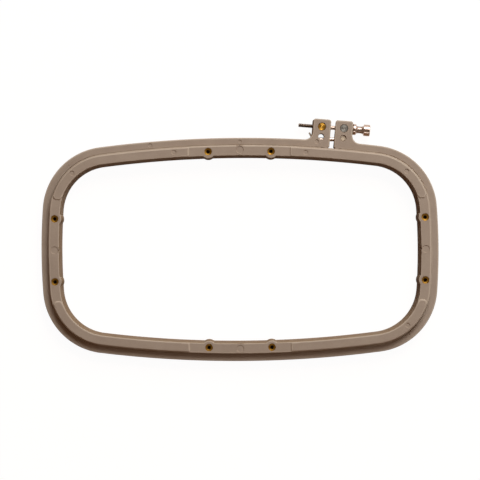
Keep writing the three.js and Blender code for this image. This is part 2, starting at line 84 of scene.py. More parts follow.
# Gaps between pieces that fit in one another
HAIR = 0.02 * MM
SCREW_SKIM = 0.05 * MM
SCREW_PLAY = 0.1 * MM
BARREL_PLAY = 0.15 * MM
BORE_PLAY = 0.2 * MM
SEAT_GAP = 0.3 * MM

# Small sizes of the outer ring, which follow from its moulding and which nobody would change
SPLIT_FLARE = 1.4 * MM
EAR_DRAFT = 0.6 * MM
BARREL_FLOOR = 1.4 * MM
HOLE_CHAMFER = 0.2 * MM
NIB_OFFSET = 3.8 * MM
NIB_LENGTH = 4.2 * MM
NIB_THICKNESS = 1.7 * MM
NIB_HEIGHT = 2.4 * MM
NIB_LEAN = math.radians(34)
NIB_EDGE = 0.6 * MM

# The same for the inner ring
CORNER_EASE = 1.5 * MM
FOOT_CHAMFER = 0.5 * MM
LEDGES = (13 * MM, 6.5 * MM)
LEDGE_STEP = 0.35 * MM
WALL_DRAFT = 0.32 * MM
BOSS_DRAFT = 0.8 * MM
BOW = 0.9 * MM
PAD_ROOT = 5 * MM
PAD_EDGE = 1.1 * MM
PAD_CROWN = 120 * MM
PAD_CREST = 3 * MM
PAD_SHOULDER = 2.2 * MM
PAD_TRIM = 0.1 * MM
PAD_END_EDGE = 1.7 * MM
PAD_MARK_SINK = 0.15 * MM
PAD_OUTER_MARGIN = 0.7 * MM
PAD_INNER_MARGIN = 0.15 * MM
PAD_SHORT_END_RADIUS = 4.3 * MM
PAD_LONG_END_RADIUS = 1.7 * MM

# The same for the inserts, with heights from the foot, or from the top for the last knurl and the collar
INSERT_SINK = 0.2 * MM
INSERT_DISH = 0.3 * MM
INSERT_EDGE = 0.12 * MM
GROOVE_DEPTH = 0.45 * MM
GROOVE_SLOPE = 0.2 * MM
KNURL_DEPTH = 0.25 * MM
LOWER_KNURL = (0.35 * MM, 3.9 * MM)
UPPER_KNURL = (4.9 * MM, 1.7 * MM)
COLLAR = (1.2 * MM, 1.1 * MM)

# The same for the clamp's metal and the plug
TURNED_CHAMFER = 0.4 * MM
TOOL_RINGS = 10
TOOL_RING_DEPTH = 0.055 * MM
SCREW_TIP = 0.15 * MM
SCREW_SHORT = 4.8 * MM
KNOB_EDGE = 0.7 * MM
KNOB_FLANGE = 3.2 * MM
KNOB_HEAD = 6.4 * MM
KNOB_CAP = 4.5 * MM
KNOB_COVES = (2.7 * MM, 3.2 * MM)
KNOB_DISH = 0.25 * MM
PIN_TIP = 0.5 * MM
PLUG_RECESS = 1.3 * MM
PLUG_DIMPLE = 0.15 * MM

# Thread form along one pitch: whether a point is on the crest, and its share of the pitch
THREAD_FORM = ((False, 0), (False, 0.25), (True, 0.56), (True, 0.69), (False, 1))

# Ejector pin marks as x, y and radius in millimetres from the hoop's middle
PAD_MARKS = (
    (-66.2, 98.3, 2.5),
    (66.8, 97.6, 2.5),
    (-169.2, 77.7, 2.5),
    (168.5, 78.0, 2.5),
    (168.8, -77.3, 2.5),
)
FLAT_MARKS = ((0.3, 100.6, 3.9), (187.4, -0.3, 3.9), (-187.3, 0.1, 3.9), (-0.2, -100.2, 3.9))
BAND_MARKS = (
    (78.2, 108.9, 2.2),
    (-90.6, 105.8, 2.2),
    (0.4, 109.3, 1.8),
    (-173.2, 86.0, 0.8),
    (171.1, -86.6, 0.8),
)

# Sides of the hoop: the way each faces, and its two inserts in order along it
SIDES = (
    ("right", 0, ("front", "back")),
    ("back", 90, ("right", "left")),
    ("left", 180, ("back", "front")),
    ("front", 270, ("left", "right")),
)

# Patterns in the materials: their real sizes, and how far each pales the plastic; the edge share is partly
# rubbing and partly a painted highlight
CLOUD_SIZE = 18 * MM
CLOUD_SHARE = 0.14
GRAIN_SIZE = 1.3 * MM
GRAIN_SHARE = 0.13
GRAIN_DEPTH = 0.04 * MM
EDGE_WEAR_AND_HIGHLIGHT_SHARE = 0.5
TARNISH_SIZE = 2.5 * MM

# Metals: share of tarnish, and roughness where bright and where dull
BRASS_SURFACE = (0.6, 0.34, 0.44)
STEEL_SURFACE = (0.0, 0.52, 0.62)
NICKEL_SURFACE = (0.35, 0.1, 0.2)

# Painted shade on the metal: its colour, its roughness, and how thickly it lies on each place
PAINTED_SHADE_TONE = "4f381f"
PAINTED_SHADE_ROUGHNESS = 0.4
SHANK_PAINTED_SHADE = 0.4
CREST_PAINTED_SHADE = 0.6
ROOT_PAINTED_SHADE = 0.9
WAIST_PAINTED_SHADE = 0.4
BORE_PAINTED_SHADE_DEPTH = 0.15 * MM

# Studio light: faintly cool lamps, and a dim warm room that fills the shadows
LAMP_TINT = (0.88, 0.95, 1.0)
LAMP_DISTANCE = 2.4
ROOM_FILL = "6f5238"
ROOM_CEILING = "81776c"
FLOOR_HALF = 6.0
FLOOR_DROP = 0.3 * MM
FLOOR_WHITE = 0.96

# Lamps: azimuth and elevation in degrees, level on a face turned to the lamp, and width
LAMPS = (
    ("key", 71, 41, 1.19, 1.5),
    ("side", 5, 38, 0.135, 1.0),
    ("strip", 270, 46, 0.04, 0.3),
)

# Camera, straight above the hoop
CAMERA_LENS = 126.4
CAMERA_SENSOR = 36
CAMERA_HEIGHT = 1.72
CAMERA_ROLL = math.radians(-0.29)


def linear(code):
    """Linear colour of an sRGB hex value."""
    channels = [int(code[i : i + 2], 16) / 255 for i in (0, 2, 4)]
    return tuple(c / 12.92 if c <= 0.04045 else ((c + 0.055) / 1.055) ** 2.4 for c in channels) + (1.0,)


def size(name, millimetres, description):
    return FloatProperty(
        name=name,
        description=description,
        default=millimetres * MM,
        min=0.0,
        precision=5,
        subtype="DISTANCE",
        unit="LENGTH",
    )


def colour(name, code, description):
    return FloatVectorProperty(
        name=name,
        description=description,
        default=linear(code),
        size=4,
        min=0.0,
        max=1.0,
        subtype="COLOR",
    )


class HoopPlanSettings(PropertyGroup):
    """Plan of the hoop, to the outer edge of the outer ring."""

    length: size("Length", (outer_high.x - outer_low.x) / MM, "Length over the outer ring")
    width: size("Width", 226.2, "Width over the outer ring, without the clamp's ears")
    long_radius: size("Long side radius", 1134, "Radius that the long sides bow to")
    short_radius: size("Short side radius", 602, "Radius that the short sides bow to")
    corner_radius: size("Corner radius", 66, "Radius of the corners")
    split_at: size("Split position", 93.7, "Distance of the split from the middle of its side")
    split_gap: size("Split gap", 4.4, "Width of the split between the ears")


class RingSettings(PropertyGroup):
    """Sections of the two rings."""

    outer_band: size("Outer band", 7.3, "Width of the outer ring")
    outer_height: size("Outer height", (outer_high.z - outer_low.z) / MM, "Height of the outer ring")
    outer_edge: size("Outer edge", 1.3, "Rounding of the outer ring's outer edges")
    outer_lip: size("Outer lip", 0.8, "Rounding of the outer ring's edges beside the inner ring")
    clearance: size("Clearance", 0.3, "Gap between the two rings")
    inner_height: size("Inner height", 20, "Height of the inner ring's bracket flats")
    inner_width: size("Inner width", 10.75, "Width of the inner ring at the top")
    inner_edge: size("Inner edge", 1.8, "Rounding of the inner ring's outer top edge")
    inner_lip: size("Inner lip", 0.8, "Rounding of the inner ring's top edge at the window")
    pad_height: size("Pad height", (inner_high.z - inner_low.z) / MM, "Height of the corner pads")
    flat_length: size("Flat length", 101.6, "Length of the bracket flat on each side")
    notch_depth: size("Notch depth", 0.9, "Depth of the vee that marks each side's middle")
    mark_depth: size("Mark depth", 0.6, "Depth of the ejector pin marks")


class InsertSettings(PropertyGroup):
    """Threaded inserts and the bosses that hold them."""

    spacing: size("Spacing", 63.5, "Distance between the two inserts of a side")
    inset: size("Inset", 14.25, "Distance of the inserts from the outer ring's edge")
    radius: size("Radius", 3.75, "Outer radius of an insert")
    bore: size("Bore", 1.7, "Radius of the bore at the thread's crests")
    thread_depth: size("Thread depth", 0.32, "Depth of the thread in the bore")
    thread_pitch: size("Thread pitch", 0.7, "Pitch of the thread in the bore")
    mouth: size("Mouth", 2.2, "Radius of the bore's chamfered mouth")
    length: size("Length", 9.5, "Length of an insert")
    boss: size("Boss radius", 6.8, "Radius of a boss at the top")


class ClampSettings(PropertyGroup):
    """Ears at the split, and the metal that draws them together."""

    ear_width: size("Ear width", 18, "Width of an ear along the ring")
    ear_reach: size("Ear reach", 21.6, "How far an ear stands out from the ring")
    ear_corner: size("Ear corner", 2.6, "Radius of an ear's corners")
    ear_fillet: size("Ear fillet", 8, "Radius where an ear runs into the ring")
    height: size("Hardware height", 6.5, "Height of the screw and the guide pin")
    barrel_offset: size("Barrel offset", 13.9, "Distance of the cross barrels from the ring's edge")
    barrel_radius: size("Barrel radius", 3.97, "Radius of the cross barrels")
    hole_offset: size("Hole offset", 3.95, "Distance of the lower ear holes from the ring's edge")
    hole_radius: size("Hole radius", 2.95, "Radius of the lower ear holes")
    screw_radius: size("Screw radius", 2, "Radius of the clamp screw over its thread")
    screw_depth: size("Thread depth", 0.45, "Depth of the clamp screw's thread")
    screw_pitch: size("Thread pitch", 0.8, "Pitch of the clamp screw's thread")
    screw_overhang: size("Screw overhang", 14.7, "Length of screw past the left ear")
    knob_length: size("Knob length", 17.2, "Length of the thumb knob")
    knob_flange: size("Flange radius", 5.6, "Radius of the knob's flange against the ear")
    knob_waist: size("Waist radius", 3.45, "Radius of the knob's waist")
    knob_head: size("Head radius", 5.9, "Radius of the knob's head")
    pin_offset: size("Pin offset", 2.05, "Distance of the guide pin from the ring's edge")
    pin_radius: size("Pin radius", 2, "Radius of the guide pin")
    pin_right: size("Pin reach right", 15.5, "Length of the guide pin into the right ear")
    pin_left: size("Pin reach left", 16.5, "Length of the guide pin into the left ear")


class FinishSettings(PropertyGroup):
    """Colours of the materials."""

    plastic: colour("Ring plastic", "998676", "Moulded plastic of both rings")
    # Painted shade: upright faces of the rings get this darker, browner colour in place of the top colour
    plastic_side_shade: colour("Ring plastic, sides", "947556", "The same plastic where it has not bleached")
    # Edge roundings get this pale colour: partly rubbed skin, partly a painted highlight
    plastic_pale: colour("Ring plastic, rubbed", "bfac98", "The same plastic where it is rubbed")
    plug: colour("Plug plastic", "bba78f", "Plug over the guide pin")
    brass: colour("Brass", "a0722b", "Inserts and threaded barrel")
    brass_dull: colour("Brass, tarnished", "664318", "Brass where it has dulled")
    steel: colour("Steel", "7f776e", "Plain barrel")
    nickel: colour("Nickel", "c8ae9e", "Knob, screw and guide pin")
    nickel_dull: colour("Nickel, worn", "8c7060", "Nickel plate where it has worn and dulled")
    floor: colour("Floor", "50443a", "Studio floor, under the white that the camera sees")


class HoopSettings(PropertyGroup):
    """Everything that shapes and colours the hoop."""

    plan: PointerProperty(type=HoopPlanSettings, name="Plan", description="Outline of the hoop")
    rings: PointerProperty(type=RingSettings, name="Rings", description="Sections of the rings")
    inserts: PointerProperty(type=InsertSettings, name="Inserts", description="Brass inserts")
    clamp: PointerProperty(type=ClampSettings, name="Clamp", description="Ears, screw and knob")
    finish: PointerProperty(type=FinishSettings, name="Finish", description="Colours")


class Outline:
    """The hoop's plan: eight tangent arcs, found by the direction of the outward normal."""

    def __init__(self, plan, ease=0.0):
        corner_radius = plan.corner_radius + ease
        long_centre = Vector((0, plan.width / 2 - plan.long_radius))
        short_centre = Vector((plan.length / 2 - plan.short_radius, 0))
        long_reach = plan.long_radius - corner_radius
        short_reach = plan.short_radius - corner_radius
        meetings = geometry.intersect_sphere_sphere_2d(long_centre, long_reach, short_centre, short_reach)
        corner_centre = max(meetings, key=lambda point: point.x + point.y)
        to_short = corner_centre - short_centre
        to_long = corner_centre - long_centre
        short_end = math.atan2(to_short.y, to_short.x)
        long_start = math.atan2(to_long.y, to_long.x)
        self.arcs = (
            (short_end, short_centre, plan.short_radius),
            (long_start, corner_centre, corner_radius),
            (math.pi, long_centre, plan.long_radius),
        )
        self.joints = sorted(
            half * math.pi + side * joint
            for half in range(-3, 4)
            for joint in (short_end, long_start)
            for side in (-1, 1)
        )

    def arc(self, direction):
        """Centre and radius of the arc whose normal points that way."""
        across, up = math.cos(direction), math.sin(direction)
        quarter = math.atan2(abs(up), abs(across))
        side = Vector((math.copysign(1, across), math.copysign(1, up)))
        centre, radius = next((c, r) for limit, c, r in self.arcs if quarter <= limit)
        return centre * side, radius

    def point(self, direction, inset):
        centre, radius = self.arc(direction)
        normal = Vector((math.cos(direction), math.sin(direction)))
        return centre + normal * (radius - inset)

    def place(self, direction, inset):
        """A frame on a line inset from the outline, with x along the outward normal."""
        where = Matrix.Translation(self.point(direction, inset).to_3d())
        return where @ Matrix.Rotation(direction, 4, "Z")

    def direction_at(self, axis, value, inset):
        """Direction in the first quarter at which an inset line reaches a given x or y."""
        inverse = (math.acos, math.asin)[axis]
        for _, centre, radius in self.arcs:
            ratio = (value - centre[axis]) / (radius - inset)
            if abs(ratio) <= 1 and self.arc(inverse(ratio))[1] == radius:
                return inverse(ratio)
        raise ValueError("the outline doesn't reach that far")

    def spans(self, start, end):
        """Arcs walked from one direction to another, as centre, angle and steps."""
        low, high = sorted((start, end))
        stops = [low, *(joint for joint in self.joints if low < joint < high), high]
        if end < start:
            stops.reverse()
        for first, last in zip(stops, stops[1:]):
            centre, radius = self.arc((first + last) / 2)
            angle = last - first
            steps = max(abs(angle) * radius / FACET_LENGTH, abs(angle) / FACET_ANGLE, 1)
            yield centre, angle, math.ceil(steps)


# Mesh helpers


def vertex_in(geom):
    return next(item for item in geom if isinstance(item, bmesh.types.BMVert))


def spin(bm, geom, angle, steps, centre=(0, 0, 0), lift=(0, 0, 0), merge=False):
    """Spins geometry about an upright line, lifting it at each step, and returns its far end."""
    spun = bmesh.ops.spin(
        bm, geom=geom, cent=centre, axis=UP, dvec=lift, angle=angle, steps=steps, use_merge=merge
    )
    return spun["geom_last"]


def sweep(bm, outline, geom, start, end):
    """Carries a vertex or a section round the hoop, arc by arc, and returns its far end."""
    for centre, angle, steps in outline.spans(start, end):
        geom = spin(bm, geom, angle, steps, centre.to_3d())
    return geom


def turn_about(bm, vert, centre, degrees):
    """Draws an arc of edges from a vertex and returns its far end."""
    steps = max(2, round(abs(degrees) / ROUND_DEGREES))
    return vertex_in(spin(bm, [vert], math.radians(degrees), steps, (*centre, 0)))


def draw_to(bm, vert, point):
    """Draws a straight edge from a vertex and returns its far end."""
    made = bmesh.ops.extrude_vert_indiv(bm, verts=[vert])["verts"][0]
    made.co = (*point, 0)
    return made


def trace(bm, start, moves, closed=False):
    """Draws a line: (x, y) goes straight there, (x, y, degrees) turns about that centre."""
    first = last = bm.verts.new((*start, 0))
    for move in moves:
        if len(move) == 2:
            last = draw_to(bm, last, move)
        else:
            last = turn_about(bm, last, move[:2], move[2])
    if closed:
        bm.edges.new((last, first))
    return first, last


def section(start, moves, closed=True):
    """A bmesh that holds a line drawn as distance and height, stood upright."""
    bm = bmesh.new()
    trace(bm, start, moves, closed)
    bmesh.ops.rotate(bm, verts=bm.verts, cent=(0, 0, 0), matrix=Matrix.Rotation(QUARTER_TURN, 3, "X"))
    return bm


def mesh_from(bm, name="work"):
    """Closes a bmesh off as a mesh with merged points and faces turned outwards."""
    bmesh.ops.remove_doubles(bm, verts=bm.verts, dist=MERGE_DISTANCE)
    bmesh.ops.recalc_face_normals(bm, faces=bm.faces)
    mesh = bpy.data.meshes.new(name)
    bm.to_mesh(mesh)
    bm.free()
    return mesh


def turned(start, moves, closed=False):
    """A mesh spun about the upright axis from a line drawn as radius and height."""
    bm = section(start, moves, closed)
    spin(bm, bm.verts[:] + bm.edges[:], FULL_TURN, TURNED_SIDES, merge=True)
    return mesh_from(bm)


def rod(radius, low, high):
    return turned((0, low), [(radius, low), (radius, high), (0, high)])


def spot(vert):
    """Where a vertex stands in plan, to a hundredth of a millimetre."""
    return round(vert.co.x, 5), round(vert.co.y, 5)


def raised(bm, bottom, top, edge, other_spots=(), other_edge=0.0):
    """Fills the closed line in a bmesh, raises it between two heights and rounds its rims.

    Rims over the other spots get the other edge.
    """
    bmesh.ops.remove_doubles(bm, verts=bm.verts, dist=MERGE_DISTANCE)
    face = bmesh.ops.edgeloop_fill(bm, edges=bm.edges[:])["faces"]
    bmesh.ops.translate(bm, verts=bm.verts, vec=UP * bottom)
    lifted = bmesh.ops.extrude_face_region(bm, geom=face)["geom"]
    verts = [item for item in lifted if isinstance(item, bmesh.types.BMVert)]
    bmesh.ops.translate(bm, verts=verts, vec=UP * (top - bottom))
    bmesh.ops.recalc_face_normals(bm, faces=bm.faces)
    rims = [e for e in bm.edges if abs(e.verts[0].co.z - e.verts[1].co.z) < MERGE_DISTANCE]
    for other, offset in ((False, edge), (True, other_edge)):
        chosen = [e for e in rims if e.is_valid and other == all(spot(v) in other_spots for v in e.verts)]
        if not chosen or not offset:
            continue
        bmesh.ops.bevel(
            bm,
            geom=chosen,
            offset=offset,
            offset_type="OFFSET",
            affect="EDGES",
            segments=EDGE_SEGMENTS,
            profile=0.5,
            material=-1,
            clamp_overlap=False,
        )
    return mesh_from(bm)


def cut_off(bm, *planes):
    """Cuts away what lies beyond each plane, and closes every opening."""
    bmesh.ops.remove_doubles(bm, verts=bm.verts, dist=MERGE_DISTANCE)
    for point, way in planes:
        whole = bm.verts[:] + bm.edges[:] + bm.faces[:]
        bmesh.ops.bisect_plane(bm, geom=whole, plane_co=point, plane_no=way, clear_outer=True)
    bmesh.ops.holes_fill(bm, edges=[e for e in bm.edges if e.is_boundary], sides=0)


def new_object(name, data):
    made = bpy.data.objects.new(name, data)
    bpy.context.scene.collection.objects.link(made)
    return made


def evaluated(item):
    """A new mesh of an object with its modifiers applied."""
    depsgraph = bpy.context.evaluated_depsgraph_get()
    return bpy.data.meshes.new_from_object(item.evaluated_get(depsgraph))


def stamped(*copies):
    """One mesh with a copy of each given mesh at its place."""
    bm = bmesh.new()
    for mesh, place in copies:
        known = len(bm.verts)
        bm.from_mesh(mesh)
        bm.verts.ensure_lookup_table()
        bmesh.ops.transform(bm, matrix=place, verts=bm.verts[known:])
    return mesh_from(bm)


def combined(body, *changes):
    """Joins meshes to a body, or cuts or trims it by them, in order."""
    objects = [new_object("work", body)]
    for operation, mesh in changes:
        objects.append(new_object("helper", mesh))
        modifier = objects[0].modifiers.new(operation, "BOOLEAN")
        modifier.operation = operation
        modifier.solver = "EXACT"
        modifier.object = objects[-1]
    made = evaluated(objects[0])
    for item in objects:
        bpy.data.objects.remove(item)
    if not made.polygons:
        raise RuntimeError("a boolean left nothing of " + body.name)
    return made


def thread(crest, root, pitch, low, high):
    """A solid threaded rod along the upright axis, cut square at both ends."""
    bm = bmesh.new()
    verts = []
    for on_crest, share in THREAD_FORM:
        verts.append(bm.verts.new((crest if on_crest else root, 0, low - pitch + share * pitch)))
    edges = [bm.edges.new(pair) for pair in zip(verts, verts[1:])]
    turns = math.ceil((high - low) / pitch) + 1
    spin(bm, verts + edges, FULL_TURN * turns, THREAD_STEPS * turns, lift=UP * pitch / THREAD_STEPS)
    cut_off(bm, (UP * low, -UP), (UP * high, UP))
    return mesh_from(bm)


def mark_edge_wear_and_highlight(mesh):
    """Notes which faces are roundings of an edge, which get painted pale: partly rubbed skin, partly a
    painted highlight.
    """
    bm = bmesh.new()
    bm.from_mesh(mesh)
    edge_wear_and_highlight = bm.faces.layers.float.new("edge_wear_and_highlight")
    for face in bm.faces:
        narrow = 2 * face.calc_area() < ROUNDING_WIDTH * face.calc_perimeter()
        bends = [edge.calc_face_angle_signed(0.0) for edge in face.edges]
        rounded = sum(FACET_BEND[0] < bend < FACET_BEND[1] for bend in bends)
        face[edge_wear_and_highlight] = float(narrow and rounded > 1 and max(bends) < FACET_BEND[1])
    bm.to_mesh(mesh)
    bm.free()


def with_painted_shade(mesh, painted_shade_of):
    """Notes how much painted shade each face gets, from a function of the face's middle."""
    painted_shade = mesh.attributes.new("painted_shade", "FLOAT", "FACE")
    for face, note in zip(mesh.polygons, painted_shade.data):
        note.value = painted_shade_of(face.center)
    return mesh


def publish(name, mesh, node, body, slot, material, place=Matrix(), sharp=TURNED_SHARP):
    """Puts a finished mesh in the scene as the piece that stands for a CAD node."""
    mesh.name = name
    mesh.transform(HOOP_PLACE @ place)
    mesh.shade_smooth()
    mesh.set_sharp_from_angle(angle=sharp)
    mark_edge_wear_and_highlight(mesh)
    piece = new_object(name, mesh)
    even = piece.modifiers.new("even normals", "WEIGHTED_NORMAL")
    even.keep_sharp = True
    piece.data = evaluated(piece)
    piece.modifiers.clear()
    bpy.data.meshes.remove(mesh)
    piece.data.name = name
    piece.data.materials.clear()
    piece.data.materials.append(material)
    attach(piece, body)
    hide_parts(node)


# Places on the hoop


def side_place(plan, degrees, inset, along):
    """A frame beside the middle of a side, with x outwards and y along the side."""
    half = plan.length / 2 if degrees % 180 == 0 else plan.width / 2
    return Matrix.Rotation(math.radians(degrees), 4, "Z") @ Matrix.Translation((half - inset, along, 0))


def insert_places(hoop):
    """Name and place of each insert."""
    aside = hoop.inserts.spacing / 2
    for side, degrees, names in SIDES:
        for name, along in zip(names, (-aside, aside)):
            yield f"{side}_{name}", side_place(hoop.plan, degrees, hoop.inserts.inset, along)


def split_direction(plan):
    return math.acos(plan.split_at / plan.long_radius)


def clamp_place(hoop, along=0.0, out=0.0, up=0.0):
    """A frame by the outer edge at the split, with x along the edge and y outwards."""
    edge = Outline(hoop.plan).place(split_direction(hoop.plan), 0)
    return edge @ Matrix.Rotation(-QUARTER_TURN, 4, "Z") @ Matrix.Translation((along, out, up))


def ear_middle(hoop):
    return (hoop.plan.split_gap + hoop.clamp.ear_width) / 2


def ear_outside(hoop):
    return ear_middle(hoop) + hoop.clamp.ear_width / 2


def screw_place(hoop):
    """The screw's line through both cross barrels, with z along it."""
    return clamp_place(hoop, 0, hoop.clamp.barrel_offset, hoop.clamp.height) @ ALONG_X


def pin_place(hoop):
    """The guide pin's line, which runs along the hoop's length, with z along it."""
    place = clamp_place(hoop, 0, hoop.clamp.pin_offset, hoop.clamp.height)
    return place @ Matrix.Rotation(-place.to_euler().z, 4, "Z") @ ALONG_X


def marks(places, top, depth):
    """Cutters for shallow round marks with sloping rims."""
    cutters = []
    for x, y, radius in places:
        floor, rim = radius * MM - depth, radius * MM + depth
        cutter = turned((0, top - depth), [(floor, top - depth), (rim, top + depth), (0, top + depth)])
        cutters.append((cutter, Matrix.Translation((x * MM, y * MM, 0))))
    return stamped(*cutters)


def drilled(radius, bottom, top):
    """A cutter for an upright hole with a small chamfer at its mouth."""
    mouth = radius + HOLE_CHAMFER + OVERCUT
    above = top + OVERCUT
    return turned((0, bottom), [(radius, bottom), (radius, top - HOLE_CHAMFER), (mouth, above), (0, above)])


# Materials


def node(tree, kind, inputs=None, **settings):
    """Adds a node with its settings, and fills its inputs with values, sockets or nodes' first outputs."""
    made = tree.nodes.new(kind)
    for name, value in settings.items():
        setattr(made, name, value)
    for socket, value in (inputs or {}).items():
        if isinstance(value, bpy.types.Node):
            value = value.outputs[0]
        if isinstance(value, bpy.types.NodeSocket):
            tree.links.new(value, made.inputs[socket])
        else:
            made.inputs[socket].default_value = value
    return made


def blank_material(name):
    material = bpy.data.materials.new(name)
    material.use_nodes = True
    material.node_tree.nodes.clear()
    return material


def moulded_plastic(name, base, sides, rubbed_and_highlit):
    """Injection moulded polyamide: an even satin skin, faintly clouded.

    Its upright sides are painted darker and browner than its tops as painted shade, and its edge roundings
    are painted pale, partly as rubbing and partly as a painted highlight.
    The skin's grain is too fine to show, so it is drawn coarse.
    """
    material = blank_material(name)
    tree = material.node_tree
    place = node(tree, "ShaderNodeTexCoord").outputs["Object"]
    wide = {"Vector": place, "Scale": 1 / CLOUD_SIZE, "Detail": 4.0, "Roughness": 0.6}
    clouds = node(tree, "ShaderNodeTexNoise", wide)
    fine = {"Vector": place, "Scale": 1 / GRAIN_SIZE, "Detail": 2.0, "Roughness": 0.7}
    grain = node(tree, "ShaderNodeTexNoise", fine)
    wide = {"Value": clouds, "From Min": 0.35, "From Max": 0.7, "To Max": CLOUD_SHARE}
    cloud_share = node(tree, "ShaderNodeMapRange", wide)
    fine = {"Value": grain, "From Min": 0.3, "From Max": 0.75, "To Max": GRAIN_SHARE}
    grain_share = node(tree, "ShaderNodeMapRange", fine)
    mottle = node(tree, "ShaderNodeMath", {0: cloud_share, 1: grain_share}, operation="ADD")
    # Edge roundings painted pale: partly rubbing, partly a painted highlight
    rounding = node(tree, "ShaderNodeAttribute", attribute_name="edge_wear_and_highlight").outputs["Fac"]
    edge_wear_and_highlight = node(tree, "ShaderNodeMath", {0: rounding, 1: EDGE_WEAR_AND_HIGHLIGHT_SHARE}, operation="MULTIPLY")
    share = node(tree, "ShaderNodeMath", {0: mottle, 1: edge_wear_and_highlight}, operation="ADD", use_clamp=True)
    normal = node(tree, "ShaderNodeNewGeometry").outputs["Normal"]
    facing = node(tree, "ShaderNodeSeparateXYZ", {"Vector": normal}).outputs["Z"]
    level = node(tree, "ShaderNodeMath", {0: facing}, operation="ABSOLUTE")
    # Painted shade: upright faces take the darker side colour, and faces turned up or down take the top
    # colour
    side_shade_mask = node(tree, "ShaderNodeMapRange", {"Value": level, "From Min": 0.2, "From Max": 0.8})
    side_shaded_skin = node(tree, "ShaderNodeMix", {0: side_shade_mask, 6: sides, 7: base}, data_type="RGBA").outputs[2]
    skin = node(tree, "ShaderNodeMix", {0: share, 6: side_shaded_skin, 7: rubbed_and_highlit}, data_type="RGBA").outputs[2]
    satin = {"Value": clouds, "From Min": 0.3, "From Max": 0.7, "To Min": 0.4, "To Max": 0.52}
    gloss = node(tree, "ShaderNodeMapRange", satin)
    bump = node(tree, "ShaderNodeBump", {"Strength": 0.25, "Distance": GRAIN_DEPTH, "Height": grain})
    surface = {
        "Base Color": skin,
        "Roughness": gloss,
        "Normal": bump,
        "IOR": 1.53,
        "Specular IOR Level": 0.0,
        "Coat Weight": 0.06,
        "Coat Roughness": 0.35,
    }
    shader = node(tree, "ShaderNodeBsdfPrincipled", surface)
    node(tree, "ShaderNodeOutputMaterial", {"Surface": shader})
    return material


def turned_metal(name, base, dull, tarnish, smooth, rough):
    """Turned bar stock: bright metal, a little dulled in patches, and painted dark and matt where a face
    carries painted shade.
    """
    material = blank_material(name)
    tree = material.node_tree
    place = node(tree, "ShaderNodeTexCoord").outputs["Object"]
    patches = node(tree, "ShaderNodeTexNoise", {"Vector": place, "Scale": 1 / TARNISH_SIZE, "Detail": 3.0})
    spread = {"Value": patches, "From Min": 0.4, "From Max": 0.7, "To Max": tarnish}
    share = node(tree, "ShaderNodeMapRange", spread)
    skin = node(tree, "ShaderNodeMix", {0: share, 6: base, 7: dull}, data_type="RGBA").outputs[2]
    # Painted shade: noted faces are mixed towards a dark brown and made matt
    shade_share = node(tree, "ShaderNodeAttribute", attribute_name="painted_shade").outputs["Fac"]
    metal_shaded_skin = node(tree, "ShaderNodeMix", {0: shade_share, 6: skin, 7: linear(PAINTED_SHADE_TONE)}, data_type="RGBA").outputs[2]
    spread = {"Value": patches, "From Min": 0.3, "From Max": 0.7, "To Min": smooth, "To Max": rough}
    gloss = node(tree, "ShaderNodeMapRange", spread)
    matted = node(tree, "ShaderNodeMath", {0: shade_share, 1: PAINTED_SHADE_ROUGHNESS, 2: gloss}, operation="MULTIPLY_ADD")
    surface = {"Base Color": metal_shaded_skin, "Roughness": matted, "Metallic": 1.0}
    shader = node(tree, "ShaderNodeBsdfPrincipled", surface)
    node(tree, "ShaderNodeOutputMaterial", {"Surface": shader})
    return material


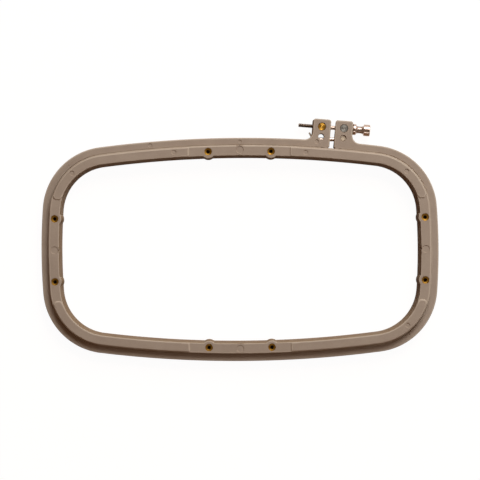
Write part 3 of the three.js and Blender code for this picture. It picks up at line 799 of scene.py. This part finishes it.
class HOOP_OT_outer_ring(Operator):
    """Model the split outer ring with its two ears"""

    bl_idname = "embroidery_hoop.outer_ring"
    bl_label = "Outer Ring"

    def execute(self, context):
        hoop = context.scene.embroidery_hoop
        rings, clamp, finish = hoop.rings, hoop.clamp, hoop.finish
        middle = ear_middle(hoop)
        height = rings.outer_height
        barrel_hole = drilled(clamp.barrel_radius + BARREL_PLAY, BARREL_FLOOR, height)
        through_hole = drilled(clamp.hole_radius, -OVERCUT, height)
        plug_hole = drilled(clamp.hole_radius, clamp.height, height)
        uprights = stamped(
            (barrel_hole, clamp_place(hoop, -middle, clamp.barrel_offset)),
            (barrel_hole, clamp_place(hoop, middle, clamp.barrel_offset)),
            (through_hole, clamp_place(hoop, -middle, clamp.hole_offset)),
            (plug_hole, clamp_place(hoop, middle, clamp.hole_offset)),
        )
        reach = middle + clamp.ear_width + BORE_PLAY
        screw_hole = rod(clamp.screw_radius + BORE_PLAY, -reach, reach)
        pin_ends = (-clamp.pin_left - BORE_PLAY, clamp.pin_right + BORE_PLAY)
        pin_hole = rod(clamp.pin_radius + BORE_PLAY, *pin_ends)
        crossings = stamped((screw_hole, screw_place(hoop)), (pin_hole, pin_place(hoop)))
        mesh = combined(
            self.ring(hoop),
            ("UNION", self.nib(hoop)),
            ("DIFFERENCE", uprights),
            ("DIFFERENCE", crossings),
            ("DIFFERENCE", marks(BAND_MARKS, height, rings.mark_depth)),
        )
        tones = (finish.plastic, finish.plastic_side_shade, finish.plastic_pale)
        material = moulded_plastic("moulded_tan_polyamide", *tones)
        names = ("outer_ring", "outer_assembly", "ring_plastic")
        publish("outer_ring_moulding", mesh, *names, material, sharp=MOULDED_SHARP)
        return {"FINISHED"}

    @staticmethod
    def fillet(hoop):
        """Centre of the circle that touches the ear's outer wall and the ring's outer edge."""
        clamp = hoop.clamp
        across = ear_outside(hoop) + clamp.ear_fillet
        reach = math.sqrt((hoop.plan.long_radius + clamp.ear_fillet) ** 2 - across**2)
        return Vector((across, reach - hoop.plan.long_radius)), math.atan2(across, reach)

    def ring(self, hoop):
        """The plan of ring and ears, walked along both edges and raised."""
        plan, rings, clamp = hoop.plan, hoop.rings, hoop.clamp
        outline = Outline(plan)
        half_gap = plan.split_gap / 2
        outside = half_gap + clamp.ear_width
        shoulder = clamp.ear_reach - clamp.ear_corner
        fillet, foot = self.fillet(hoop)
        bm = bmesh.new()
        first, last = trace(
            bm,
            (half_gap + SPLIT_FLARE, -rings.outer_band),
            [
                (half_gap, SPLIT_FLARE - rings.outer_band),
                (half_gap, shoulder),
                (half_gap + clamp.ear_corner, shoulder, -90),
                (outside - clamp.ear_corner, clamp.ear_reach),
                (outside - clamp.ear_corner, shoulder, -90),
                (outside, fillet.y),
                (*fillet, 90 - math.degrees(foot)),
            ],
        )
        bmesh.ops.mirror(bm, geom=bm.verts[:] + bm.edges[:], axis="X", merge_dist=0.0)
        bmesh.ops.transform(bm, matrix=clamp_place(hoop), verts=bm.verts)
        split = split_direction(plan)
        flare = math.atan2(half_gap + SPLIT_FLARE, plan.long_radius - rings.outer_band)
        sweep(bm, outline, [last], split - foot, split + foot - FULL_TURN)
        known = len(bm.verts)
        sweep(bm, outline, [first], split - flare, split + flare - FULL_TURN)
        inside = {spot(vert) for vert in bm.verts[known:]} | {spot(first)}
        mesh = raised(bm, 0, rings.outer_height, rings.outer_edge, inside, rings.outer_lip)
        return self.drafted(hoop, mesh)

    @staticmethod
    def drafted(hoop, mesh):
        """Leans the ears' side walls out towards the foot, as they leave the mould."""
        clamp = hoop.clamp
        place = clamp_place(hoop)
        middle = ear_middle(hoop)
        for vert in mesh.vertices:
            local = place.inverted() @ vert.co
            beside = abs(local.x) - middle
            if local.y < 0 or local.z > hoop.rings.outer_height / 2 or abs(local.x) > 2 * middle:
                continue
            rise = min(local.y / clamp.ear_fillet, 1)
            lean = EAR_DRAFT * rise * max(-1, min(1, 2 * beside / clamp.ear_width))
            local.x += math.copysign(lean, local.x)
            vert.co = place @ local
        return mesh

    def nib(self, hoop):
        """A small moulding tongue in the left ear's fillet, which leans away from the ear."""
        clamp = hoop.clamp
        fillet, _ = self.fillet(hoop)
        rise = fillet.y - NIB_OFFSET
        root = math.sqrt(clamp.ear_fillet**2 - rise**2) - fillet.x
        side = NIB_THICKNESS / 2
        bm = bmesh.new()
        corners = [(side, -NIB_THICKNESS), (side, NIB_LENGTH), (-side, NIB_LENGTH)]
        trace(bm, (-side, -NIB_THICKNESS), corners, closed=True)
        place = clamp_place(hoop, root, NIB_OFFSET) @ Matrix.Rotation(NIB_LEAN, 4, "Z")
        bmesh.ops.transform(bm, matrix=place, verts=bm.verts)
        bottom = clamp.height - NIB_HEIGHT / 2
        return raised(bm, bottom, bottom + NIB_HEIGHT, NIB_EDGE)


class HOOP_OT_inner_ring(Operator):
    """Model the inner ring with its pads, bosses and notches"""

    bl_idname = "embroidery_hoop.inner_ring"
    bl_label = "Inner Ring"

    def execute(self, context):
        hoop = context.scene.embroidery_hoop
        rings, inserts = hoop.rings, hoop.inserts
        boss = self.boss(hoop)
        bosses = stamped(*((boss, place) for _, place in insert_places(hoop)))
        pad = self.pad(hoop)
        corners = [(1, 1), (-1, 1), (-1, -1), (1, -1)]
        pads = stamped(*((pad, Matrix.Diagonal((x, y, 1, 1))) for x, y in corners))
        top = rings.inner_height
        floor = top - INSERT_SINK - inserts.length - SEAT_GAP
        hole = drilled(inserts.radius + HAIR, floor, top)
        cuts = [(hole, place) for _, place in insert_places(hoop)]
        mesh = combined(
            self.ring(hoop),
            ("UNION", bosses),
            ("UNION", pads),
            ("DIFFERENCE", stamped(*cuts, *self.notches(hoop))),
            ("DIFFERENCE", marks(FLAT_MARKS, top, rings.mark_depth)),
            ("DIFFERENCE", marks(PAD_MARKS, rings.pad_height - PAD_MARK_SINK, rings.mark_depth)),
        )
        material = bpy.data.materials["moulded_tan_polyamide"]
        names = ("inner_ring", "inner_assembly", "ring_plastic")
        publish("inner_ring_moulding", mesh, *names, material, sharp=MOULDED_SHARP)
        return {"FINISHED"}

    @staticmethod
    def insets(hoop):
        """Insets of the inner ring's outer wall, top inner edge and foot."""
        rings = hoop.rings
        outer = rings.outer_band + rings.clearance
        edge = outer + rings.inner_width
        foot = edge + (len(LEDGES) + 1) * WALL_DRAFT + len(LEDGES) * LEDGE_STEP
        return outer, edge, foot

    def ring(self, hoop):
        """A section with rounded top edges and a stepped inner wall, carried round the hoop."""
        outside, window, foot = (hoop.plan.length / 2 - inset for inset in self.insets(hoop))
        top = hoop.rings.inner_height
        rounding = hoop.rings.inner_edge
        lip = hoop.rings.inner_lip
        wall = []
        across = window
        for height in LEDGES:
            wall.append((across - WALL_DRAFT, height))
            across -= WALL_DRAFT + LEDGE_STEP
            wall.append((across, height))
        bm = section(
            (outside - FOOT_CHAMFER, 0),
            [
                (outside, FOOT_CHAMFER),
                (outside, top - rounding),
                (outside - rounding, top - rounding, 90),
                (window + lip, top),
                (window + lip, top - lip, 90),
                *wall,
                (foot, FOOT_CHAMFER),
                (foot + FOOT_CHAMFER, 0),
            ],
        )
        sweep(bm, Outline(hoop.plan, CORNER_EASE), bm.verts[:] + bm.edges[:], 0, FULL_TURN)
        return mesh_from(bm)

    def boss(self, hoop):
        """A drafted post round an insert, cut off flat where it would leave the outer wall."""
        radius = hoop.inserts.boss
        top = hoop.rings.inner_height
        lip = hoop.rings.inner_lip
        rise = [(radius + BOSS_DRAFT, 0), (radius, top - lip), (radius - lip, top - lip, 90), (0, top)]
        bm = bmesh.new()
        bm.from_mesh(turned((0, 0), rise))
        outer, _, _ = self.insets(hoop)
        limit = hoop.inserts.inset - outer - hoop.rings.inner_edge - BOW
        cut_off(bm, ((limit, 0, 0), (1, 0, 0)))
        return mesh_from(bm)

    def pad(self, hoop):
        """One corner pad, with round ends on the short side and nearly square ones on the long."""
        rings = hoop.rings
        outline = Outline(hoop.plan, CORNER_EASE)
        outer, edge, _ = self.insets(hoop)
        outer += PAD_OUTER_MARGIN
        inner = edge - PAD_INNER_MARGIN
        flat_end = rings.flat_length / 2

        def corner(axis, inset, radius):
            direction = outline.direction_at(axis, flat_end + radius, inset)
            return direction, outline.point(direction, inset)

        start, start_centre = corner(1, outer + PAD_SHORT_END_RADIUS, PAD_SHORT_END_RADIUS)
        end, end_centre = corner(0, outer + PAD_LONG_END_RADIUS, PAD_LONG_END_RADIUS)
        back, back_centre = corner(0, inner - PAD_LONG_END_RADIUS, PAD_LONG_END_RADIUS)
        home, home_centre = corner(1, inner - PAD_SHORT_END_RADIUS, PAD_SHORT_END_RADIUS)

        def beside(centre, radius, direction):
            return centre + radius * Vector((math.cos(direction), math.sin(direction)))

        bm = bmesh.new()
        first = bm.verts.new(beside(start_centre, PAD_SHORT_END_RADIUS, start - QUARTER_TURN).to_3d())
        last = turn_about(bm, first, start_centre, 90)
        known = len(bm.verts)
        last = vertex_in(sweep(bm, outline, [last], start, end))
        sides = {spot(vert) for vert in bm.verts[known:-1]}
        last = turn_about(bm, last, end_centre, 90)
        last = draw_to(bm, last, beside(back_centre, PAD_LONG_END_RADIUS, back + QUARTER_TURN))
        last = turn_about(bm, last, back_centre, 90)
        known = len(bm.verts)
        last = vertex_in(sweep(bm, outline, [last], back, home))
        sides |= {spot(vert) for vert in bm.verts[known:-1]}
        last = turn_about(bm, last, home_centre, 90)
        bm.edges.new((last, first))
        ends = {spot(vert) for vert in bm.verts} - sides
        bottom = rings.inner_height - PAD_ROOT
        blank = raised(bm, bottom, rings.pad_height - PAD_TRIM, 0.0, ends, PAD_END_EDGE)
        return combined(blank, ("INTERSECT", self.crown(hoop, outer, inner)))

    @staticmethod
    def crown(hoop, outer, inner):
        """A bar with a crowned top and rounded edges, carried round a corner, that a pad is cut from."""
        half = hoop.plan.length / 2
        far = half - outer - HAIR
        near = half - inner + HAIR
        crest = far - PAD_CREST
        pivot = hoop.rings.pad_height - PAD_CROWN
        root = hoop.rings.inner_height - PAD_ROOT - HAIR

        def rounding(centre, radius):
            across = centre - crest
            rise = math.sqrt((PAD_CROWN - radius) ** 2 - across**2)
            return (centre, pivot + rise), math.degrees(math.atan2(rise, across))

        near_centre, near_angle = rounding(near + PAD_EDGE, PAD_EDGE)
        far_centre, far_angle = rounding(far - PAD_SHOULDER, PAD_SHOULDER)
        bm = section(
            (near, root),
            [
                (near, near_centre[1]),
                (*near_centre, near_angle - 180),
                *[(crest, pivot, (far_angle - near_angle) / CROWN_STEPS)] * CROWN_STEPS,
                (*far_centre, -far_angle),
                (far, root),
            ],
        )
        sweep(bm, Outline(hoop.plan, CORNER_EASE), bm.verts[:] + bm.edges[:], 0, QUARTER_TURN)
        cut_off(bm)
        return mesh_from(bm)

    def notches(self, hoop):
        """Vee cutters in the middle of each side, and one in the outer edge at the back."""
        rings = hoop.rings
        outline = Outline(hoop.plan, CORNER_EASE)
        outer, edge, _ = self.insets(hoop)
        width = 2 * rings.notch_depth * math.sqrt(2)
        tall = rings.inner_height
        bm = bmesh.new()
        bmesh.ops.create_cube(bm, size=1.0)
        bmesh.ops.rotate(bm, verts=bm.verts, cent=(0, 0, 0), matrix=Matrix.Rotation(math.pi / 4, 3, "Z"))
        bmesh.ops.scale(bm, verts=bm.verts, vec=(width, width, tall))
        vee = mesh_from(bm)
        above = Matrix.Translation((-rings.notch_depth, 0, LEDGES[0] + tall / 2))
        cutters = [(vee, outline.place(math.radians(side[1]), edge) @ above) for side in SIDES]
        above = Matrix.Translation((rings.notch_depth, 0, rings.outer_height + tall / 2))
        cutters.append((vee, outline.place(QUARTER_TURN, outer) @ above))
        return cutters


class HOOP_OT_inserts(Operator):
    """Model the eight threaded brass inserts"""

    bl_idname = "embroidery_hoop.inserts"
    bl_label = "Inserts"

    def execute(self, context):
        hoop = context.scene.embroidery_hoop
        finish = hoop.finish
        # Brass turned from bar: a warm yellow half gloss, browned in patches
        brass = turned_metal("turned_brass", finish.brass, finish.brass_dull, *BRASS_SURFACE)
        lift = Matrix.Translation((0, 0, hoop.rings.inner_height - INSERT_SINK - hoop.inserts.length))
        shape = self.insert(hoop.inserts)
        for name, place in insert_places(hoop):
            names = (f"insert_{name}", "inner_assembly", "brass")
            publish(f"threaded_insert_{name}", shape.copy(), *names, brass, place @ lift)
        return {"FINISHED"}

    @staticmethod
    def insert(inserts):
        """A bush with two knurled bands, a plain collar, a dished face and a threaded bore."""
        radius, length, bore = inserts.radius, inserts.length, inserts.bore
        groove = radius - GROOVE_DEPTH
        knurl_top = length - UPPER_KNURL[1]
        face = length - INSERT_DISH
        bush = turned(
            (bore, 0),
            [
                (radius - LOWER_KNURL[0], 0),
                (radius, LOWER_KNURL[0]),
                (radius, LOWER_KNURL[1]),
                (groove, LOWER_KNURL[1] + GROOVE_SLOPE),
                (groove, UPPER_KNURL[0] - GROOVE_SLOPE),
                (radius, UPPER_KNURL[0]),
                (radius, knurl_top),
                (groove, knurl_top + GROOVE_SLOPE),
                (groove, length - COLLAR[0]),
                (radius, length - COLLAR[1]),
                (radius, length - INSERT_EDGE),
                (radius - INSERT_EDGE, length),
                (inserts.mouth, face),
                (bore, face - inserts.mouth + bore),
            ],
            closed=True,
        )
        bm = bmesh.new()
        bm.from_mesh(bush)
        tooth = FULL_TURN / TURNED_SIDES
        hollows = [
            vert
            for vert in bm.verts
            if vert.co.xy.length > radius - MERGE_DISTANCE
            and vert.co.z < length - COLLAR[0]
            and round(math.atan2(vert.co.y, vert.co.x) / tooth) % 2
        ]
        deep = 1 - KNURL_DEPTH / radius
        bmesh.ops.scale(bm, verts=hollows, vec=(deep, deep, 1))
        tap = thread(bore + inserts.thread_depth, bore, inserts.thread_pitch, -OVERCUT, length + OVERCUT)

        # Painted shade: the faces of the threaded bore are painted dark
        def bore_painted_shade(middle):
            return float(middle.xy.length < bore + BORE_PAINTED_SHADE_DEPTH)

        return with_painted_shade(combined(mesh_from(bm), ("DIFFERENCE", tap)), bore_painted_shade)


class HOOP_OT_barrels(Operator):
    """Model the two cross barrels that the screw passes through"""

    bl_idname = "embroidery_hoop.barrels"
    bl_label = "Cross Barrels"

    def execute(self, context):
        hoop = context.scene.embroidery_hoop
        finish = hoop.finish
        brass = bpy.data.materials["turned_brass"]
        # Zinc plated steel, faced on a lathe: an even half matt grey
        steel = turned_metal("turned_zinc_plated_steel", finish.steel, finish.steel, *STEEL_SURFACE)
        shape = self.barrel(hoop)
        middle = ear_middle(hoop)
        kinds = (("barrel_nut", -middle, "brass", brass), ("barrel_swivel", middle, "turned_steel", steel))
        for name, along, slot, material in kinds:
            place = clamp_place(hoop, along, hoop.clamp.barrel_offset)
            publish(f"{name}_turned", shape.copy(), name, "outer_assembly", slot, material, place)
        return {"FINISHED"}

    @staticmethod
    def barrel(hoop):
        """A dowel with a faced top, whose tool rings are drawn coarse enough to show."""
        clamp = hoop.clamp
        radius = clamp.barrel_radius
        top = hoop.rings.outer_height
        foot = BARREL_FLOOR + SEAT_GAP
        ring_width = (radius - TURNED_CHAMFER) / TOOL_RINGS
        face = []
        for ring in range(TOOL_RINGS):
            edge = radius - TURNED_CHAMFER - ring * ring_width
            face.append((edge, top))
            face.append((edge - ring_width / 2, top - TOOL_RING_DEPTH))
        dowel = turned(
            (0, foot),
            [
                (radius - TURNED_CHAMFER, foot),
                (radius, foot + TURNED_CHAMFER),
                (radius, top - TURNED_CHAMFER),
                *face,
                (0, top),
            ],
        )
        bit = rod(clamp.screw_radius + SCREW_PLAY, -2 * radius, 2 * radius)
        across = Matrix.Translation((0, 0, clamp.height)) @ ALONG_X
        return combined(dowel, ("DIFFERENCE", stamped((bit, across))))


class HOOP_OT_screw(Operator):
    """Model the clamp screw with its thread"""

    bl_idname = "embroidery_hoop.screw"
    bl_label = "Clamp Screw"

    def execute(self, context):
        hoop = context.scene.embroidery_hoop
        clamp, finish = hoop.clamp, hoop.finish
        # Bright nickel plate: a mirror gloss with a warm cast, dulled where it has worn
        nickel = turned_metal("bright_nickel_plate", finish.nickel, finish.nickel_dull, *NICKEL_SURFACE)
        low = -ear_outside(hoop) - clamp.screw_overhang
        high = ear_outside(hoop) + clamp.knob_length - SCREW_SHORT
        radius = clamp.screw_radius
        root = radius - clamp.screw_depth
        end = -hoop.plan.split_gap
        threaded = thread(radius, root, clamp.screw_pitch, low - OVERCUT, end + OVERCUT)
        tip = clamp.screw_depth + SCREW_TIP
        skim = radius + SCREW_SKIM
        blank = turned((0, low), [(radius - tip, low), (skim, low + tip), (skim, high), (0, high)])
        shank = turned((0, end), [(root, end), (radius, end + tip), (radius, high), (0, high)])

        # Painted shade: the thread is painted dark, darkest in its roots
        def thread_painted_shade(middle):
            if middle.z > end:
                # Painted dark reflection: the plain shank beyond the thread is darkened all round
                return SHANK_PAINTED_SHADE
            return ROOT_PAINTED_SHADE if middle.xy.length < radius - SCREW_PLAY else CREST_PAINTED_SHADE

        mesh = with_painted_shade(combined(threaded, ("INTERSECT", blank), ("UNION", shank)), thread_painted_shade)
        names = ("clamp_screw", "screw_assembly", "nickel")
        publish("clamp_screw_threaded", mesh, *names, nickel, screw_place(hoop))
        return {"FINISHED"}


class HOOP_OT_knob(Operator):
    """Model the spool-shaped thumb knob"""

    bl_idname = "embroidery_hoop.knob"
    bl_label = "Thumb Knob"

    def execute(self, context):
        hoop = context.scene.embroidery_hoop
        clamp = hoop.clamp
        length = clamp.knob_length
        edge = KNOB_EDGE
        head_start = length - KNOB_HEAD
        bore = clamp.screw_radius + SCREW_SKIM
        bore_end = length - KNOB_CAP
        flange = clamp.knob_flange - edge
        head = clamp.knob_head - edge
        waist = clamp.knob_waist
        shape = turned(
            (0, bore_end),
            [
                (bore, bore_end),
                (bore, 0),
                (flange, 0),
                (flange, edge, 90),
                (clamp.knob_flange, KNOB_FLANGE - edge),
                (flange, KNOB_FLANGE - edge, 90),
                *self.cove(KNOB_FLANGE, flange, KNOB_FLANGE + KNOB_COVES[0], waist),
                *reversed(self.cove(head_start, head, head_start - KNOB_COVES[1], waist)),
                (head, head_start),
                (head, head_start + edge, 90),
                (clamp.knob_head, length - edge),
                (head, length - edge, 90),
                (head - KNOB_DISH, length),
                (head - 3 * KNOB_DISH, length - KNOB_DISH),
                (0, length - KNOB_DISH),
            ],
        )

        # Painted shade: the hollow waist between flange and head is painted darker
        def waist_painted_shade(middle):
            return WAIST_PAINTED_SHADE * (KNOB_FLANGE < middle.z < head_start and middle.xy.length < flange - edge)

        place = screw_place(hoop) @ Matrix.Translation((0, 0, ear_outside(hoop) + SEAT_GAP))
        nickel = bpy.data.materials["bright_nickel_plate"]
        names = ("thumb_knob", "screw_assembly", "nickel")
        publish("thumb_knob_turned", with_painted_shade(shape, waist_painted_shade), *names, nickel, place)
        return {"FINISHED"}

    @staticmethod
    def cove(shoulder, shoulder_radius, waist, waist_radius):
        """Points of a hollow that leaves a shoulder square and runs smoothly into the waist."""
        points = []
        for step in range(1, COVE_STEPS + 1):
            angle = QUARTER_TURN * step / COVE_STEPS
            along = waist + (shoulder - waist) * math.cos(angle)
            radius = shoulder_radius + (waist_radius - shoulder_radius) * math.sin(angle)
            points.append((radius, along))
        return points


class HOOP_OT_guide_pin(Operator):
    """Model the guide pin and the plug over its fixed end"""

    bl_idname = "embroidery_hoop.guide_pin"
    bl_label = "Guide Pin"

    def execute(self, context):
        hoop = context.scene.embroidery_hoop
        nickel = bpy.data.materials["bright_nickel_plate"]
        names = ("guide_pin", "outer_assembly", "nickel")
        publish("guide_pin_ground", self.pin(hoop.clamp), *names, nickel, pin_place(hoop))
        finish = hoop.finish
        material = moulded_plastic("moulded_pale_polyamide", finish.plug, finish.plug, finish.plastic_pale)
        names = ("guide_pin_plug", "outer_assembly", "plug_plastic")
        place = clamp_place(hoop, ear_middle(hoop), hoop.clamp.hole_offset)
        publish("guide_pin_plug_moulded", self.plug(hoop), *names, material, place)
        return {"FINISHED"}

    @staticmethod
    def pin(clamp):
        """A plain rod with a round end and a chamfered one."""
        radius = clamp.pin_radius
        low, high = -clamp.pin_left, clamp.pin_right
        neck = radius - PIN_TIP
        round_end = [(neck, low), (neck, low + PIN_TIP, 90)]
        return turned((0, low), [*round_end, (radius, high - PIN_TIP), (neck, high), (0, high)])

    @staticmethod
    def plug(hoop):
        """A short plug with a rounded rim and a shallow dimple."""
        clamp = hoop.clamp
        radius = clamp.hole_radius - BORE_PLAY
        foot = clamp.height + clamp.pin_radius + SEAT_GAP
        top = hoop.rings.outer_height - PLUG_RECESS
        return turned(
            (0, foot),
            [
                (radius, foot),
                (radius, top - TURNED_CHAMFER),
                (radius - TURNED_CHAMFER, top - TURNED_CHAMFER, 90),
                (radius - 3 * TURNED_CHAMFER, top - PLUG_DIMPLE),
                (0, top - PLUG_DIMPLE),
            ],
        )


class HOOP_OT_stage(Operator):
    """Set up the camera, the lamps and the floor"""

    bl_idname = "embroidery_hoop.stage"
    bl_label = "Studio"

    def execute(self, context):
        scene = context.scene
        self.camera(scene)
        for lamp in LAMPS:
            self.softbox(*lamp)
        self.floor(scene)
        self.surroundings(scene)
        scene.view_settings.view_transform = "Standard"
        return {"FINISHED"}

    @staticmethod
    def camera(scene):
        data = bpy.data.cameras.new("camera")
        data.lens = CAMERA_LENS
        data.sensor_width = CAMERA_SENSOR
        data.clip_start = 0.05
        data.clip_end = 50
        camera = new_object("camera", data)
        camera.location = (0, 0, CAMERA_HEIGHT)
        camera.rotation_euler = (0, 0, CAMERA_ROLL)
        scene.camera = camera

    @staticmethod
    def softbox(name, azimuth, elevation, level, width):
        """A square lamp that lights a face turned towards it to the given level."""
        around, above = math.radians(azimuth), math.radians(elevation)
        flat = math.cos(above)
        way = Vector((math.cos(around) * flat, math.sin(around) * flat, math.sin(above)))
        data = bpy.data.lights.new(name, "AREA")
        data.shape = "SQUARE"
        data.color = LAMP_TINT
        data.size = width
        data.energy = level * math.pi**2 * LAMP_DISTANCE**2
        lamp = new_object(name, data)
        lamp.location = way * LAMP_DISTANCE
        lamp.rotation_euler = way.to_track_quat("Z", "Y").to_euler()
        lamp.visible_camera = False

    @staticmethod
    def seen(tree):
        """One for the rays that show the backdrop: to the camera, in gloss and through glass."""
        path = node(tree, "ShaderNodeLightPath")
        shown = path.outputs["Is Camera Ray"]
        for name in ("Is Glossy Ray", "Is Transmission Ray"):
            shown = node(tree, "ShaderNodeMath", {0: shown, 1: path.outputs[name]}, operation="MAXIMUM")
        return shown

    def floor(self, scene):
        """A pale floor that the camera sees as white, and that keeps the hoop's shadow."""
        bm = bmesh.new()
        bmesh.ops.create_grid(bm, x_segments=1, y_segments=1, size=FLOOR_HALF)
        bmesh.ops.translate(bm, verts=bm.verts, vec=UP * -FLOOR_DROP)
        mesh = mesh_from(bm, "studio_floor")
        floor = new_object("studio_floor", mesh)
        material = blank_material("matt_white_floor")
        tree = material.node_tree
        matt = node(tree, "ShaderNodeBsdfDiffuse", {"Color": scene.embroidery_hoop.finish.floor})
        glow = node(tree, "ShaderNodeMath", {0: self.seen(tree), 1: FLOOR_WHITE}, operation="MULTIPLY")
        white = node(tree, "ShaderNodeEmission", {"Strength": glow})
        both = node(tree, "ShaderNodeAddShader", {0: matt, 1: white})
        node(tree, "ShaderNodeOutputMaterial", {"Surface": both})
        mesh.materials.append(material)

    def surroundings(self, scene):
        """A dim warm room under a dark ceiling, with a white backdrop all round."""
        world = bpy.data.worlds.new("studio_room")
        world.use_nodes = True
        tree = world.node_tree
        tree.nodes.clear()
        way = node(tree, "ShaderNodeTexCoord").outputs["Generated"]
        height = node(tree, "ShaderNodeSeparateXYZ", {"Vector": way}).outputs["Z"]
        fade = {"Value": height, "From Min": 0.25, "From Max": 0.5, "To Min": 1.0, "To Max": 0.0}
        level = node(tree, "ShaderNodeMapRange", fade)
        seen = self.seen(tree)
        backdrop = node(tree, "ShaderNodeMath", {0: seen, 1: level}, operation="MULTIPLY")
        tone = linear(ROOM_FILL)
        for share, brighter in ((seen, linear(ROOM_CEILING)), (backdrop, (1, 1, 1, 1))):
            mix = node(tree, "ShaderNodeMix", {0: share, 6: tone, 7: brighter}, data_type="RGBA")
            tone = mix.outputs[2]
        light = node(tree, "ShaderNodeBackground", {"Color": tone, "Strength": 1.0})
        node(tree, "ShaderNodeOutputWorld", {"Surface": light})
        scene.world = world


class HOOP_PT_panel(Panel):
    """Sidebar list of the hoop's sizes, colours and steps"""

    bl_idname = "HOOP_PT_panel"
    bl_label = "Embroidery Hoop"
    bl_space_type = "VIEW_3D"
    bl_region_type = "UI"
    bl_category = "Hoop"

    def draw(self, context):
        hoop = context.scene.embroidery_hoop
        for group in (hoop.plan, hoop.rings, hoop.inserts, hoop.clamp, hoop.finish):
            box = self.layout.box()
            for name in group.__annotations__:
                box.prop(group, name)
        for operator in OPERATORS:
            self.layout.operator(operator.bl_idname)


SETTINGS = (HoopPlanSettings, RingSettings, InsertSettings, ClampSettings, FinishSettings, HoopSettings)
OPERATORS = (
    HOOP_OT_stage,
    HOOP_OT_outer_ring,
    HOOP_OT_inner_ring,
    HOOP_OT_inserts,
    HOOP_OT_barrels,
    HOOP_OT_screw,
    HOOP_OT_knob,
    HOOP_OT_guide_pin,
)
CLASSES = (*SETTINGS, *OPERATORS, HOOP_PT_panel)


def register():
    for item in CLASSES:
        bpy.utils.register_class(item)
    bpy.types.Scene.embroidery_hoop = PointerProperty(type=HoopSettings)


def unregister():
    del bpy.types.Scene.embroidery_hoop
    for item in reversed(CLASSES):
        bpy.utils.unregister_class(item)


def main():
    register()
    bpy.ops.embroidery_hoop.stage()
    bpy.ops.embroidery_hoop.outer_ring()
    bpy.ops.embroidery_hoop.inner_ring()
    bpy.ops.embroidery_hoop.inserts()
    bpy.ops.embroidery_hoop.barrels()
    bpy.ops.embroidery_hoop.screw()
    bpy.ops.embroidery_hoop.knob()
    bpy.ops.embroidery_hoop.guide_pin()


if __name__ == "__main__":
    main()
